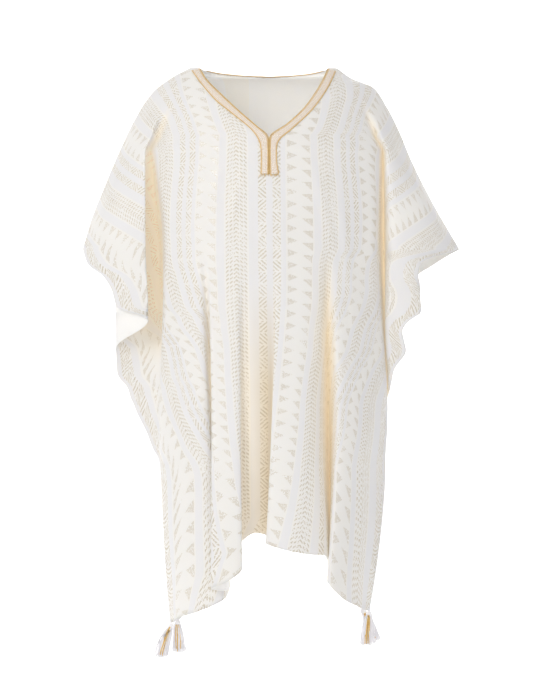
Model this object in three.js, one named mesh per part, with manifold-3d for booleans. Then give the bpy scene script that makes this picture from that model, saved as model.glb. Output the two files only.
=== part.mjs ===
// Short wide kaftan, worn shape, hollow. Millimetres, +Z up, front towards -Y.
// Origin: between the shoulders, at the height where the neckline meets the shoulder seam.
import * as THREE from 'three';
import { mergeVertices } from 'three/addons/utils/BufferGeometryUtils.js';
import Module from 'manifold-3d';

// Driving sizes
const CLOTH = 1.5;
const SEAM_GAP = 0.3;
const CHEST_FRONT = 118;
const BELLY_FRONT = 124;
const HEM_FRONT = 118;
const BODY_HALF_WIDTH = 215;
const BACK_DEPTH = 112;
const TIP_DEPTH = 322;
const V_DEPTH = 126;
const BACK_NECK_DROP = 18;
const SKIRT_START = 698;
const BRAID_WIDTH = 15;
const BRAID_THICKNESS = 1.8;
const BRAID_EASE = 0.9;
const NEIGHBOURS = 2;
const BACK_BRAID_EASE = 2.7;
const TASSEL_LENGTH = 66;
const TASSEL_LOCKS = 30;

// Depth below the neck point at which the fold tables give a section
const LEVELS = [150, 310, 446, 620, 860];

// Sleeve folds: x and y of each fold at the five levels
const LEFT_SLEEVE = [
  { fold: 'edge', x: [-260, -321, -334, -300, -240], y: [0, 0, -4, 70, 90] },
  { fold: 'arm', x: [-243, -290, -262, -280, -225], y: [-32, -47, -52, 66, 80] },
  { fold: 'cuffFold', x: [-214, -213, -208, -270, -212], y: [-58, -70, -64, 62, 70] },
  { fold: 'flapFold', x: [-216, -246, -266, -262, -200], y: [-44, -34, -34, 56, 62] },
  { fold: 'gap', x: [-206, -193, -187, -192, -188], y: [-34, 14, -4, -2, 16] },
];
const RIGHT_SLEEVE = [
  { fold: 'gap', x: [200, 203, 205, 209, 203], y: [-34, 16, 6, -6, 16] },
  { fold: 'foldEdge', x: [207, 213, 209, 216, 196], y: [-57, -62, -46, 6, 40] },
  { fold: 'crest', x: [218, 250, 266, 232, 194], y: [-50, -66, -54, 18, 60] },
  { fold: 'arm', x: [230, 296, 240, 250, 190], y: [-30, -44, -24, 30, 70] },
  { fold: 'edge', x: [244, 332, 236, 260, 186], y: [0, 0, -6, 40, 80] },
];

// Body folds from the wearer's right side to the left: x at four levels, how far the fold lies
// behind the plain front at hip and hem, and how deep the hem hangs there
const BODY_FOLDS = [
  { fold: 'sideLeft', chest: -194, elbow: -178, hip: -187, hem: -171, hipIn: 24, hemIn: 84, drop: 971 },
  { fold: 'seamLeft', chest: -180, elbow: -168, hip: -165, hem: -152, hipIn: 14, hemIn: 50, drop: 962 },
  { fold: 'lobeLeft', chest: -158, elbow: -146, hip: -138, hem: -122, hipIn: 3, hemIn: 24, drop: 951 },
  { fold: 'crestLeft', chest: -138, elbow: -120, hip: -103, hem: -79, hipIn: 10, hemIn: 26, drop: 931 },
  { fold: 'deepLeft', chest: -130, elbow: -112, hip: -94, hem: -66, hipIn: 62, hemIn: 128, drop: 900 },
  { fold: 'underLeft', chest: -124, elbow: -106, hip: -88, hem: -74, hipIn: 12, hemIn: 20, drop: 914 },
  { fold: 'lapLeft', chest: -118, elbow: -101, hip: -97, hem: -98, hipIn: 2, hemIn: 2, drop: 910 },
  { fold: 'lapMiddle', chest: -98, elbow: -78, hip: -72, hem: -70, hipIn: -2, hemIn: -2, drop: 897 },
  { fold: 'lapEdge', chest: -72, elbow: -52, hip: -49, hem: -45, hipIn: 0, hemIn: 4, drop: 876 },
  { fold: 'lapBack', chest: -60, elbow: -43, hip: -45, hem: -60, hipIn: 16, hemIn: 34, drop: 850 },
  { fold: 'floor', chest: -44, elbow: -32, hip: -26, hem: -26, hipIn: 18, hemIn: 44, drop: 815 },
  { fold: 'centre', chest: 2, elbow: 3, hip: 6, hem: 6, hipIn: 16, hemIn: 40, drop: 820 },
  { fold: 'underMiddle', chest: 10, elbow: 12, hip: 14, hem: 20, hipIn: 10, hemIn: 28, drop: 829 },
  { fold: 'crestMiddle', chest: 18, elbow: 18, hip: 7, hem: -3, hipIn: 0, hemIn: 8, drop: 831 },
  { fold: 'lobeMiddle', chest: 38, elbow: 36, hip: 34, hem: 30, hipIn: -4, hemIn: -8, drop: 842 },
  { fold: 'lobeEdge', chest: 62, elbow: 66, hip: 66, hem: 72, hipIn: -3, hemIn: -4, drop: 850 },
  { fold: 'valleyIn', chest: 86, elbow: 90, hip: 89, hem: 101, hipIn: 10, hemIn: 12, drop: 853 },
  { fold: 'deepRight', chest: 98, elbow: 102, hip: 105, hem: 112, hipIn: 50, hemIn: 100, drop: 878 },
  { fold: 'crestRight', chest: 110, elbow: 116, hip: 121, hem: 105, hipIn: 2, hemIn: 14, drop: 902 },
  { fold: 'lobeRight', chest: 134, elbow: 138, hip: 146, hem: 132, hipIn: 0, hemIn: 24, drop: 930 },
  { fold: 'seamRight', chest: 166, elbow: 164, hip: 170, hem: 156, hipIn: 10, hemIn: 48, drop: 943 },
  { fold: 'sideRight', chest: 192, elbow: 187, hip: 209, hem: 178, hipIn: 26, hemIn: 80, drop: 950 },
];

// Shoulder and arm seam: depth below the neck point and distance from the middle
const LEFT_RIDGE = [
  { depth: 4, x: -137 }, { depth: 22, x: -170 }, { depth: 46, x: -201 }, { depth: 89, x: -230 },
  { depth: 144, x: -257 }, { depth: 217, x: -288 }, { depth: 273, x: -310 }, { depth: 322, x: -324 },
];
const RIGHT_RIDGE = [
  { depth: 4, x: 120 }, { depth: 23, x: 147 }, { depth: 38, x: 184 }, { depth: 68, x: 205 },
  { depth: 119, x: 231 }, { depth: 163, x: 249 }, { depth: 235, x: 285 }, { depth: 322, x: 335 },
];
// Free side edges of the front: which pair of folds the edge lies between, and its x there
const LEFT_EDGE = [
  { depth: 322, from: 0, x: -324 }, { depth: 350, from: 0, x: -312 }, { depth: 371, from: 0, x: -284 },
  { depth: 402, from: 0, x: -252 }, { depth: 446, from: 2, x: -208 }, { depth: 499, from: 3, x: -273 },
  { depth: 530, from: 3, x: -265 }, { depth: 563, from: 3, x: -247 }, { depth: 602, from: 3, x: -233 },
  { depth: 651, from: 3, x: -208 }, { depth: 698, from: 4, x: -191 },
];

const RIGHT_EDGE = [
  { depth: 322, from: 0, x: 335 }, { depth: 345, from: 1, x: 266 }, { depth: 371, from: 1, x: 261 },
  { depth: 424, from: 2, x: 262 }, { depth: 446, from: 2, x: 246 }, { depth: 464, from: 2, x: 234 },
  { depth: 497, from: 2, x: 241 }, { depth: 530, from: 2, x: 221 }, { depth: 585, from: 4, x: 205 },
];
// Neck edge of the front: depth below the neck point and distance from the middle
const LEFT_NECK = [
  { depth: 4, x: -120 }, { depth: 26, x: -107 }, { depth: 53, x: -81 }, { depth: 84, x: -49 },
  { depth: 107, x: -23 }, { depth: 126, x: 2 },
];
const RIGHT_NECK = [
  { depth: 4, x: 105 }, { depth: 53, x: 84 }, { depth: 88, x: 54 }, { depth: 113, x: 26 },
  { depth: 126, x: 2 },
];
// Back sleeve folds and free edges, plain and kept behind the front
const BACK_LEFT_SLEEVE = [
  { fold: 'edge', x: [-259, -319, -300, -300, -300], y: [0, 0, 10, 40, 60] },
  { fold: 'arm', x: [-238, -286, -250, -240, -240], y: [34, 52, 44, 70, 80] },
  { fold: 'gap', x: [-206, -222, -212, -196, -186], y: [44, 70, 60, 76, 92] },
];
const BACK_RIGHT_SLEEVE = [
  { fold: 'gap', x: [200, 220, 216, 208, 190], y: [44, 70, 64, 80, 96] },
  { fold: 'arm', x: [226, 292, 250, 240, 220], y: [34, 52, 46, 70, 80] },
  { fold: 'edge', x: [243, 330, 300, 300, 260], y: [0, 0, 10, 40, 60] },
];
const BACK_LEFT_EDGE = [
  { depth: 322, from: 0, x: -322 }, { depth: 371, from: 0, x: -270 }, { depth: 420, from: 1, x: -236 },
  { depth: 499, from: 1, x: -224 }, { depth: 600, from: 1, x: -206 }, { depth: 698, from: 2, x: -183 },
];
const BACK_RIGHT_EDGE = [
  { depth: 322, from: 0, x: 333 }, { depth: 331, from: 0, x: 316 }, { depth: 347, from: 0, x: 291 },
  { depth: 371, from: 1, x: 258 }, { depth: 420, from: 1, x: 240 }, { depth: 530, from: 1, x: 216 },
  { depth: 620, from: 2, x: 205 },
];
const BACK_FOLDS = [
  { fold: 'sideLeft', chest: -186, elbow: -186, hip: -172, hem: -160, hipIn: 96, hemIn: 53, drop: 964 },
  { fold: 'seamLeft', chest: -174, elbow: -170, hip: -160, hem: -146, hipIn: 60, hemIn: 60, drop: 962 },
  { fold: 'turnLeft', chest: -160, elbow: -158, hip: -152, hem: -140, hipIn: 60, hemIn: 40, drop: 940 },
  { fold: 'lobeLeft', chest: -130, elbow: -128, hip: -124, hem: -118, hipIn: 6, hemIn: 0, drop: 892 },
  { fold: 'deepLeft', chest: -92, elbow: -90, hip: -86, hem: -84, hipIn: 12, hemIn: 46, drop: 846 },
  { fold: 'crestLeft', chest: -56, elbow: -56, hip: -54, hem: -52, hipIn: -2, hemIn: -8, drop: 816 },
  { fold: 'deepMiddle', chest: -20, elbow: -20, hip: -22, hem: -24, hipIn: 6, hemIn: 32, drop: 798 },
  { fold: 'centre', chest: 2, elbow: 2, hip: 4, hem: 6, hipIn: -2, hemIn: -8, drop: 798 },
  { fold: 'crestRight', chest: 36, elbow: 38, hip: 38, hem: 36, hipIn: 4, hemIn: 28, drop: 812 },
  { fold: 'lobeRight', chest: 74, elbow: 76, hip: 78, hem: 72, hipIn: -3, hemIn: -8, drop: 836 },
  { fold: 'deepRight', chest: 104, elbow: 106, hip: 108, hem: 102, hipIn: 14, hemIn: 50, drop: 862 },
  { fold: 'lobeEdge', chest: 134, elbow: 136, hip: 138, hem: 126, hipIn: 6, hemIn: 2, drop: 914 },
  { fold: 'turnRight', chest: 158, elbow: 160, hip: 160, hem: 144, hipIn: 60, hemIn: 40, drop: 934 },
  { fold: 'seamRight', chest: 172, elbow: 172, hip: 167, hem: 152, hipIn: 60, hemIn: 60, drop: 943 },
  { fold: 'sideRight', chest: 184, elbow: 188, hip: 187, hem: 168, hipIn: 62, hemIn: 43, drop: 945 },
];

// Braid edges on the front: outer and inner edge, distance from the middle and depth
const LEFT_BRAID = [
  { outX: -133, outDepth: 10, inX: -119, inDepth: 7 }, { outX: -117, outDepth: 33, inX: -107, inDepth: 27 },
  { outX: -90, outDepth: 65, inX: -80, inDepth: 55 }, { outX: -61, outDepth: 89, inX: -52, inDepth: 82 },
  { outX: -26, outDepth: 119, inX: -19, inDepth: 111 }, { outX: -15, outDepth: 137, inX: -1, inDepth: 127 },
  { outX: -12, outDepth: 152, inX: 1, inDepth: 142 }, { outX: -12, outDepth: 193, inX: 1, inDepth: 193 },
];
const RIGHT_BRAID = [
  { outX: 118, outDepth: 11, inX: 105, inDepth: 7 }, { outX: 104, outDepth: 42, inX: 92, inDepth: 35 },
  { outX: 77, outDepth: 81, inX: 65, inDepth: 76 }, { outX: 44, outDepth: 113, inX: 33, inDepth: 107 },
  { outX: 18, outDepth: 137, inX: 5, inDepth: 127 }, { outX: 15, outDepth: 153, inX: 3, inDepth: 142 },
  { outX: 16, outDepth: 177, inX: 3, inDepth: 172 }, { outX: 19, outDepth: 192, inX: 3, inDepth: 194 },
];
const BACK_NECK_LEFT = [
  { depth: 4, x: -119 }, { depth: 8, x: -109 }, { depth: 12, x: -88 }, { depth: 16, x: -46 },
  { depth: 18, x: 2 },
];
const BACK_NECK_RIGHT = [
  { depth: 4, x: 105 }, { depth: 8, x: 98 }, { depth: 12, x: 82 }, { depth: 16, x: 46 },
  { depth: 18, x: 2 },
];

// Tassels: which panel's corner each hangs from, which way its locks fall and how wide they spread
const TASSELS = [
  { name: 'tassel_front_left', front: true, side: 'left', fallX: -17, fallY: -6, spread: 14, twist: 0.3 },
  { name: 'tassel_back_left', front: false, side: 'left', fallX: 3, fallY: 10, spread: 14, twist: 1.4 },
  { name: 'tassel_front_right', front: true, side: 'right', fallX: -3, fallY: -7, spread: 15, twist: 2.2 },
  { name: 'tassel_back_right', front: false, side: 'right', fallX: 19, fallY: 10, spread: 14, twist: 0.9 },
];

const FRONT_ROWS = [
  4, 10, 22, 40, 62, 84, 106, 126, 150, 176, 203, 232, 262, 292, 322, 346, 371, 396, 420, 446, 464, 481,
  499, 530, 563, 602, 640, 670,
];
const BACK_ROWS = [
  4, 6, 9, 12, 15, 18, 40, 66, 95, 126, 150, 190, 232, 277, 322, 346, 371, 396, 420, 446, 464, 481,
  499, 530, 563, 602, 640, 670,
];
const SKIRT_ROWS = 8;

// Smooth value of a short list of values given at rising positions, held flat past both ends
function along(positions, values, at) {
  const last = positions.length - 1;
  if (at <= positions[0]) return values[0];
  if (at >= positions[last]) return values[last];
  let i = 0;
  while (at > positions[i + 1]) i += 1;
  const slope = (k) => (values[k + 1] - values[k]) / (positions[k + 1] - positions[k]);
  const tangent = (k) => {
    if (k === 0) return slope(0);
    if (k === last) return slope(last - 1);
    const before = slope(k - 1);
    const after = slope(k);
    return before * after <= 0 ? 0 : (2 * before * after) / (before + after);
  };
  const step = positions[i + 1] - positions[i];
  const t = (at - positions[i]) / step;
  const h00 = (1 + 2 * t) * (1 - t) * (1 - t);
  const h10 = t * (1 - t) * (1 - t);
  const h01 = t * t * (3 - 2 * t);
  const h11 = t * t * (t - 1);
  return h00 * values[i] + h10 * step * tangent(i) + h01 * values[i + 1] + h11 * step * tangent(i + 1);
}

const column = (table, name) => table.map((entry) => entry[name]);
const xAt = (table, depth) => along(column(table, 'depth'), column(table, 'x'), depth);

// Distance of the plain rounded body from the middle plane, before any fold
function plainBody(x, depth, front) {
  const round = Math.sqrt(Math.max(0.04, 1 - (x / BODY_HALF_WIDTH) ** 2));
  const reach = front
    ? along(LEVELS, [CHEST_FRONT, BELLY_FRONT, BELLY_FRONT, BELLY_FRONT, HEM_FRONT], depth)
    : BACK_DEPTH;
  return reach * round;
}

function sleeveFold(entry) {
  return {
    x: (depth) => along(LEVELS, entry.x, depth),
    y: (depth) => along(LEVELS, entry.y, depth),
    drop: 860,
  };
}

function bodyFold(entry, front) {
  const sign = front ? -1 : 1;
  const inward = [0, 0, 0.35 * entry.hipIn, entry.hipIn, entry.hemIn];
  const xs = [entry.chest, entry.elbow, 0.6 * entry.elbow + 0.4 * entry.hip, entry.hip, entry.hem];
  const x = (depth) => along(LEVELS, xs, depth);
  return {
    x,
    y: (depth) => sign * (plainBody(x(depth), depth, front) - along(LEVELS, inward, depth)),
    drop: entry.drop,
  };
}

// Share of the way from the outer end to the middle at which each fold lies, by the cloth's own length
function evenShares(part) {
  const steps = part.slice(1).map((p, i) => Math.hypot(p.x - part[i].x, p.y - part[i].y));
  const whole = steps.reduce((sum, step) => sum + step, 0);
  const run = part.map((p, i) => steps.slice(0, i).reduce((sum, step) => sum + step, 0) / whole);
  const fromMiddle = Math.abs(part[0].x) < Math.abs(part[part.length - 1].x);
  return fromMiddle ? run.map((share) => 1 - share) : run;
}

// One section across a panel: a point for each fold, from the left edge to the right edge.
// Above the first level the folds die out into a smooth shoulder.
function section(panel, depth, skirt) {
  const folds = panel.folds;
  const sign = panel.front ? -1 : 1;
  const seam = sign * (SEAM_GAP / 2 + CLOTH / 2);
  const middle = panel.middle;
  const at = Math.max(depth, LEVELS[0]);
  const points = folds.map((fold, i) => {
    let x = fold.x(at);
    let y = fold.y(at);
    if (i === 0 && at <= TIP_DEPTH) x = xAt(panel.leftRidge, at);
    if (i === folds.length - 1 && at <= TIP_DEPTH) x = xAt(panel.rightRidge, at);
    if (i === 0 || i === folds.length - 1) y += seam;
    return { x, y, z: -(skirt === undefined ? depth : SKIRT_START + skirt * (fold.drop - SKIRT_START)) };
  });
  if (depth >= LEVELS[0]) return { left: points.slice(0, middle + 1), right: points.slice(middle) };
  const squeeze = (part, ridge, neck) => {
    const wide = xAt(ridge, LEVELS[0]);
    const inner = points[middle].x;
    const edge = xAt(ridge, depth);
    const throat = xAt(neck, depth);
    const reach = panel.neckReach(depth);
    const even = evenShares(part);
    const kept = THREE.MathUtils.smoothstep(depth, 60, LEVELS[0]);
    return part.map((point, i) => {
      const own = (point.x - wide) / (inner - wide);
      const ownOut = (point.y - seam) / (points[middle].y - seam);
      const smooth = (1 - (1 - even[i]) ** 1.6) ** 0.75;
      const share = even[i] + (own - even[i]) * kept;
      const out = smooth + (ownOut - smooth) * kept;
      return { x: edge + (throat - edge) * share, y: seam + reach * out, z: point.z };
    });
  };
  return {
    left: squeeze(points.slice(0, middle + 1), panel.leftRidge, panel.leftNeck),
    right: squeeze(points.slice(middle), panel.rightRidge, panel.rightNeck),
  };
}

// Smooth curve through the fold points of a section (centripetal, so tight folds don't loop)
function curveThrough(points) {
  const vectors = points.map((p) => new THREE.Vector3(p.x, p.y, p.z));
  const curve = new THREE.CatmullRomCurve3(vectors, false, 'centripetal');
  return (t) => curve.getPoint(Math.min(1, Math.max(0, t / (vectors.length - 1))));
}

// Fold parameter, counted from the outer end, at which the free side edge crosses this section
function edgeParameter(at, count, table, sleeve, depth, skirt, fromLeft) {
  if (depth <= TIP_DEPTH) return 0;
  if (skirt !== undefined) return sleeve - 0.65 + 0.65 * skirt * skirt;
  const rows = table.filter((entry) => entry.depth <= depth);
  const k = rows[rows.length - 1].from;
  const target = xAt(table, depth);
  let best = k;
  let gap = Infinity;
  for (let i = 0; i <= 20; i += 1) {
    const t = k + i / 20;
    const miss = Math.abs(at(fromLeft ? t : count - t).x - target);
    if (miss < gap) {
      gap = miss;
      best = t;
    }
  }
  return best;
}

// Flat net of a panel: corner points and triangles, before the cloth gets its thickness
function panelNet(panel) {
  const points = [];
  const rows = [];
  const steps = panel.steps;
  const depths = panel.rows.map((depth) => ({ depth }));
  for (let i = 1; i <= SKIRT_ROWS; i += 1) {
    const skirt = i / SKIRT_ROWS;
    depths.push({ depth: SKIRT_START + skirt * (LEVELS[4] - SKIRT_START), skirt });
  }
  for (const { depth, skirt } of depths) {
    const halves = section(panel, depth, skirt);
    const leftCurve = curveThrough(halves.left);
    const rightCurve = curveThrough(halves.right);
    const leftCount = halves.left.length - 1;
    const rightCount = halves.right.length - 1;
    const leftEdge = edgeParameter(leftCurve, leftCount, panel.leftEdge, panel.sleeve, depth, skirt, true);
    const rightEdge = edgeParameter(
      rightCurve, rightCount, panel.rightEdge, panel.sleeve, depth, skirt, false);
    const row = [];
    let edgeIndex = -1;
    for (let j = 0; j <= leftCount * steps; j += 1) {
      const t = j / steps;
      if (t <= leftEdge && edgeIndex >= 0) {
        row.push(edgeIndex);
        continue;
      }
      points.push(leftCurve(Math.max(t, leftEdge)));
      row.push(points.length - 1);
      if (t <= leftEdge) edgeIndex = points.length - 1;
    }
    if (depth < panel.neckDepth) {
      row.push(-1);
      points.push(rightCurve(0));
      row.push(points.length - 1);
    }
    edgeIndex = -1;
    for (let j = 1; j <= rightCount * steps; j += 1) {
      const t = Math.min(j / steps, rightCount - rightEdge);
      if (j / steps >= rightCount - rightEdge && edgeIndex >= 0) {
        row.push(edgeIndex);
        continue;
      }
      points.push(rightCurve(t));
      row.push(points.length - 1);
      if (j / steps >= rightCount - rightEdge) edgeIndex = points.length - 1;
    }
    rows.push(row);
  }
  const triangles = [];
  const add = (a, b, c) => {
    if (a < 0 || b < 0 || c < 0 || a === b || b === c || a === c) return;
    triangles.push(panel.front ? [a, b, c] : [a, c, b]);
  };
  const middleColumn = panel.middle * steps;
  const widen = (row, length) => {
    if (row.length === length) return row;
    const wide = row.slice();
    wide.splice(middleColumn + 1, 0, -1, wide[middleColumn]);
    return wide;
  };
  const full = Math.max(...rows.map((row) => row.length));
  const even = rows.map((row) => widen(row, full));
  for (let i = 0; i + 1 < even.length; i += 1) {
    for (let j = 0; j + 1 < full; j += 1) {
      const [a, b] = [even[i][j], even[i][j + 1]];
      const [c, d] = [even[i + 1][j], even[i + 1][j + 1]];
      add(a, c, b);
      add(b, c, d);
    }
  }
  const hem = rows[rows.length - 1];
  return { points, triangles, corners: { left: points[hem[0]], right: points[hem[hem.length - 1]] } };
}

// Gives a net of triangles its thickness: two faces half a thickness out, and a rim along each free edge
function thicken(net, thickness) {
  const normals = net.points.map(() => new THREE.Vector3());
  for (const [a, b, c] of net.triangles) {
    const ab = net.points[b].clone().sub(net.points[a]);
    const ac = net.points[c].clone().sub(net.points[a]);
    const n = ab.cross(ac);
    for (const k of [a, b, c]) normals[k].add(n);
  }
  const position = [];
  const index = [];
  for (const side of [1, -1]) {
    net.points.forEach((point, k) => {
      const shift = normals[k].clone().normalize().multiplyScalar((side * thickness) / 2);
      position.push(point.x + shift.x, point.y + shift.y, point.z + shift.z);
    });
  }
  const count = net.points.length;
  const edges = new Map();
  for (const [a, b, c] of net.triangles) {
    index.push(a, b, c, count + a, count + c, count + b);
    for (const [u, v] of [[a, b], [b, c], [c, a]]) edges.set(`${u},${v}`, [u, v]);
  }
  for (const [u, v] of edges.values()) {
    if (edges.has(`${v},${u}`)) continue;
    index.push(u, count + u, v, v, count + u, count + v);
  }
  const geometry = new THREE.BufferGeometry();
  geometry.setAttribute('position', new THREE.Float32BufferAttribute(position, 3));
  geometry.setIndex(index);
  return tidy(geometry);
}

// Drops unused points and gives a finished geometry with normals
function tidy(geometry) {
  const bare = geometry.clone();
  bare.deleteAttribute('normal');
  bare.deleteAttribute('uv');
  const merged = mergeVertices(bare, 1e-4);
  merged.computeVertexNormals();
  return merged;
}

const FRONT = {
  front: true,
  steps: 2,
  sleeve: LEFT_SLEEVE.length,
  rows: FRONT_ROWS,
  neckDepth: V_DEPTH,
  leftRidge: LEFT_RIDGE,
  rightRidge: RIGHT_RIDGE,
  leftEdge: LEFT_EDGE,
  rightEdge: RIGHT_EDGE,
  leftNeck: LEFT_NECK,
  rightNeck: RIGHT_NECK,
  neckReach: (depth) => -along(
    [4, 10, 26, 53, 84, 107, 126, 150], [1.5, 18, 40, 67, 91, 104, 112, CHEST_FRONT], depth),
  folds: [
    ...LEFT_SLEEVE.map(sleeveFold),
    ...BODY_FOLDS.map((entry) => bodyFold(entry, true)),
    ...RIGHT_SLEEVE.map(sleeveFold),
  ],
  middle: LEFT_SLEEVE.length + BODY_FOLDS.findIndex((entry) => entry.fold === 'centre'),
};

// Back fold sewn to the front along the side seam: its own path above, the front's fold below
function seamFold(own, frontFold, inward) {
  const share = (depth) => THREE.MathUtils.smoothstep(depth, 350, 499);
  const space = CLOTH + SEAM_GAP;
  const mix = (a, b, t) => a + (b - a) * t;
  return {
    x: (depth) => mix(own.x(depth), frontFold.x(depth) + inward * space * 0.75, share(depth)),
    y: (depth) => mix(own.y(depth), frontFold.y(depth) + space * 1.05, share(depth)),
    drop: frontFold.drop,
  };
}

const frontFold = (name) => FRONT.folds[LEFT_SLEEVE.length + BODY_FOLDS.findIndex((e) => e.fold === name)];
const backBody = BACK_FOLDS.map((entry) => {
  const own = bodyFold(entry, false);
  if (entry.fold === 'seamLeft') return seamFold(own, frontFold('seamLeft'), 1);
  if (entry.fold === 'seamRight') return seamFold(own, frontFold('seamRight'), -1);
  return own;
});
const BACK = {
  front: false,
  steps: 2,
  sleeve: BACK_LEFT_SLEEVE.length,
  rows: BACK_ROWS,
  neckDepth: BACK_NECK_DROP,
  leftRidge: LEFT_RIDGE,
  rightRidge: RIGHT_RIDGE,
  leftEdge: BACK_LEFT_EDGE,
  rightEdge: BACK_RIGHT_EDGE,
  leftNeck: BACK_NECK_LEFT,
  rightNeck: BACK_NECK_RIGHT,
  neckReach: (depth) => along(
    [4, 6, 9, 12, 18, 40, 84, 150], [1.5, 17, 34, 46, 60, 80, 100, BACK_DEPTH], depth),
  folds: [...BACK_LEFT_SLEEVE.map(sleeveFold), ...backBody, ...BACK_RIGHT_SLEEVE.map(sleeveFold)],
  middle: BACK_LEFT_SLEEVE.length + BACK_FOLDS.findIndex((entry) => entry.fold === 'centre'),
};

const frontNet = panelNet(FRONT);
const backNet = panelNet(BACK);

// Vertex normals of a net
function netNormals(net) {
  const normals = net.points.map(() => new THREE.Vector3());
  for (const [a, b, c] of net.triangles) {
    const ab = net.points[b].clone().sub(net.points[a]);
    const ac = net.points[c].clone().sub(net.points[a]);
    const n = ab.cross(ac);
    for (const k of [a, b, c]) normals[k].add(n);
  }
  return normals.map((n) => n.normalize());
}

// Nearest point of a net to a given point, and the net's own direction there
function seatOn(net, normals, point) {
  const triangle = new THREE.Triangle();
  const near = new THREE.Vector3();
  const share = new THREE.Vector3();
  let best = Infinity;
  let result = null;
  for (const [a, b, c] of net.triangles) {
    triangle.set(net.points[a], net.points[b], net.points[c]);
    triangle.closestPointToPoint(point, near);
    const far = near.distanceToSquared(point);
    if (far >= best || !triangle.getBarycoord(near, share)) continue;
    best = far;
    const n = normals[a].clone().multiplyScalar(share.x);
    n.addScaledVector(normals[b], share.y).addScaledVector(normals[c], share.z).normalize();
    result = { on: near.clone(), n };
  }
  return result;
}

// Points spread evenly by length along a short line of points
function spreadEvenly(line) {
  const run = [0];
  for (let i = 1; i < line.length; i += 1) run.push(run[i - 1] + line[i].distanceTo(line[i - 1]));
  return line.map((point, i) => {
    const want = (run[line.length - 1] * i) / (line.length - 1);
    let k = 0;
    while (k < line.length - 2 && run[k + 1] < want) k += 1;
    const share = (want - run[k]) / Math.max(run[k + 1] - run[k], 1e-6);
    return line[k].clone().lerp(line[k + 1], share);
  });
}

// Ribbon laid on a net between two edges given as functions of a share of its length. All of a
// station's points are lifted the same way, the mean of the net's directions under its neighbours.
function ribbon(net, inner, outer, stations, across, lift, flip) {
  const normals = netNormals(net);
  const points = [];
  const triangles = [];
  const seats = [];
  for (let i = 0; i <= stations; i += 1) {
    const from = inner(i / stations);
    const to = outer(i / stations);
    const row = [];
    for (let j = 0; j <= across; j += 1) row.push(seatOn(net, normals, from.clone().lerp(to, j / across)));
    seats.push(row);
  }
  for (let i = 0; i <= stations; i += 1) {
    const facing = new THREE.Vector3();
    for (const row of seats.slice(Math.max(0, i - NEIGHBOURS), i + NEIGHBOURS + 1)) {
      for (const seat of row) facing.add(seat.n);
    }
    facing.normalize();
    for (const point of spreadEvenly(seats[i].map((seat) => seat.on))) {
      points.push(point.addScaledVector(facing, lift));
    }
  }
  for (let i = 0; i < stations; i += 1) {
    for (let j = 0; j < across; j += 1) {
      const a = i * (across + 1) + j;
      const b = a + across + 1;
      const quad = [[a, b, a + 1], [a + 1, b, b + 1]];
      for (const [u, v, w] of quad) triangles.push(flip ? [u, w, v] : [u, v, w]);
    }
  }
  return thicken({ points, triangles }, BRAID_THICKNESS);
}

// Front surface depth at a place seen from the front, found on the net's triangles
function frontPoint(x, depth) {
  const place = new THREE.Vector3(x, 0, -depth);
  const flat = new THREE.Triangle();
  const share = new THREE.Vector3();
  let y = null;
  for (const [a, b, c] of frontNet.triangles) {
    const corners = [a, b, c].map((k) => frontNet.points[k]);
    flat.set(...corners.map((p) => new THREE.Vector3(p.x, 0, p.z)));
    if (flat.getArea() < 1e-6 || !flat.getBarycoord(place, share)) continue;
    if (Math.min(share.x, share.y, share.z) < -1e-3) continue;
    const here = share.x * corners[0].y + share.y * corners[1].y + share.z * corners[2].y;
    if (y === null || here < y) y = here;
  }
  if (y !== null) return new THREE.Vector3(x, y, -depth);
  const guess = new THREE.Vector3(x, FRONT.neckReach(Math.min(depth, LEVELS[0])), -depth);
  return seatOn(frontNet, netNormals(frontNet), guess).on;
}

function frontBraid(table, flip) {
  const edge = (nameX, nameDepth) => {
    const marks = table.map((entry) => frontPoint(entry[nameX], entry[nameDepth]));
    const path = new THREE.CatmullRomCurve3(
      table.map((entry) => new THREE.Vector3(entry[nameX], 0, -entry[nameDepth])), false, 'centripetal');
    return (t) => {
      if (t <= 0) return marks[0];
      const p = path.getPoint(t);
      return frontPoint(p.x, -p.z);
    };
  };
  const lift = CLOTH / 2 + SEAM_GAP + BRAID_EASE + BRAID_THICKNESS / 2;
  return ribbon(frontNet, edge('inX', 'inDepth'), edge('outX', 'outDepth'), 24, 2, lift, flip);
}

// Braid round the back of the neck: the back panel's own neck edge, and a strip just below it
function backBraid() {
  const span = 0.47;
  const neck = (t) => {
    const side = 2 * t - 1;
    const table = side < 0 ? BACK_NECK_LEFT : BACK_NECK_RIGHT;
    const depth = BACK_NECK_DROP - (BACK_NECK_DROP - 8.7) * Math.abs(side) ** 2.2;
    return new THREE.Vector3(xAt(table, depth), BACK.neckReach(depth), -depth);
  };
  const below = (t) => {
    const a = neck(Math.max(0, t - 0.02));
    const b = neck(Math.min(1, t + 0.02));
    const ahead = b.clone().sub(a).normalize();
    const out = new THREE.Vector3(ahead.y, -ahead.x, 0).normalize();
    const down = out.multiplyScalar(-1).add(new THREE.Vector3(0, 0, -span)).normalize();
    return neck(t).addScaledVector(down, BRAID_WIDTH - 2);
  };
  const lift = CLOTH / 2 + SEAM_GAP + BACK_BRAID_EASE + BRAID_THICKNESS / 2;
  return ribbon(backNet, neck, below, 44, 5, lift, true);
}

const wasm = await Module();
wasm.setup();

// Closed body for joining, from a geometry
function bodyOf(geometry) {
  const bare = tidy(geometry);
  return new wasm.Manifold(new wasm.Mesh({
    numProp: 3,
    vertProperties: new Float32Array(bare.attributes.position.array),
    triVerts: new Uint32Array(bare.index.array),
  }));
}

function geometryOf(body) {
  const mesh = body.getMesh();
  const geometry = new THREE.BufferGeometry();
  geometry.setAttribute('position', new THREE.Float32BufferAttribute(mesh.vertProperties, 3));
  geometry.setIndex(new THREE.Uint32BufferAttribute(mesh.triVerts, 1));
  return tidy(geometry);
}

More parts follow.
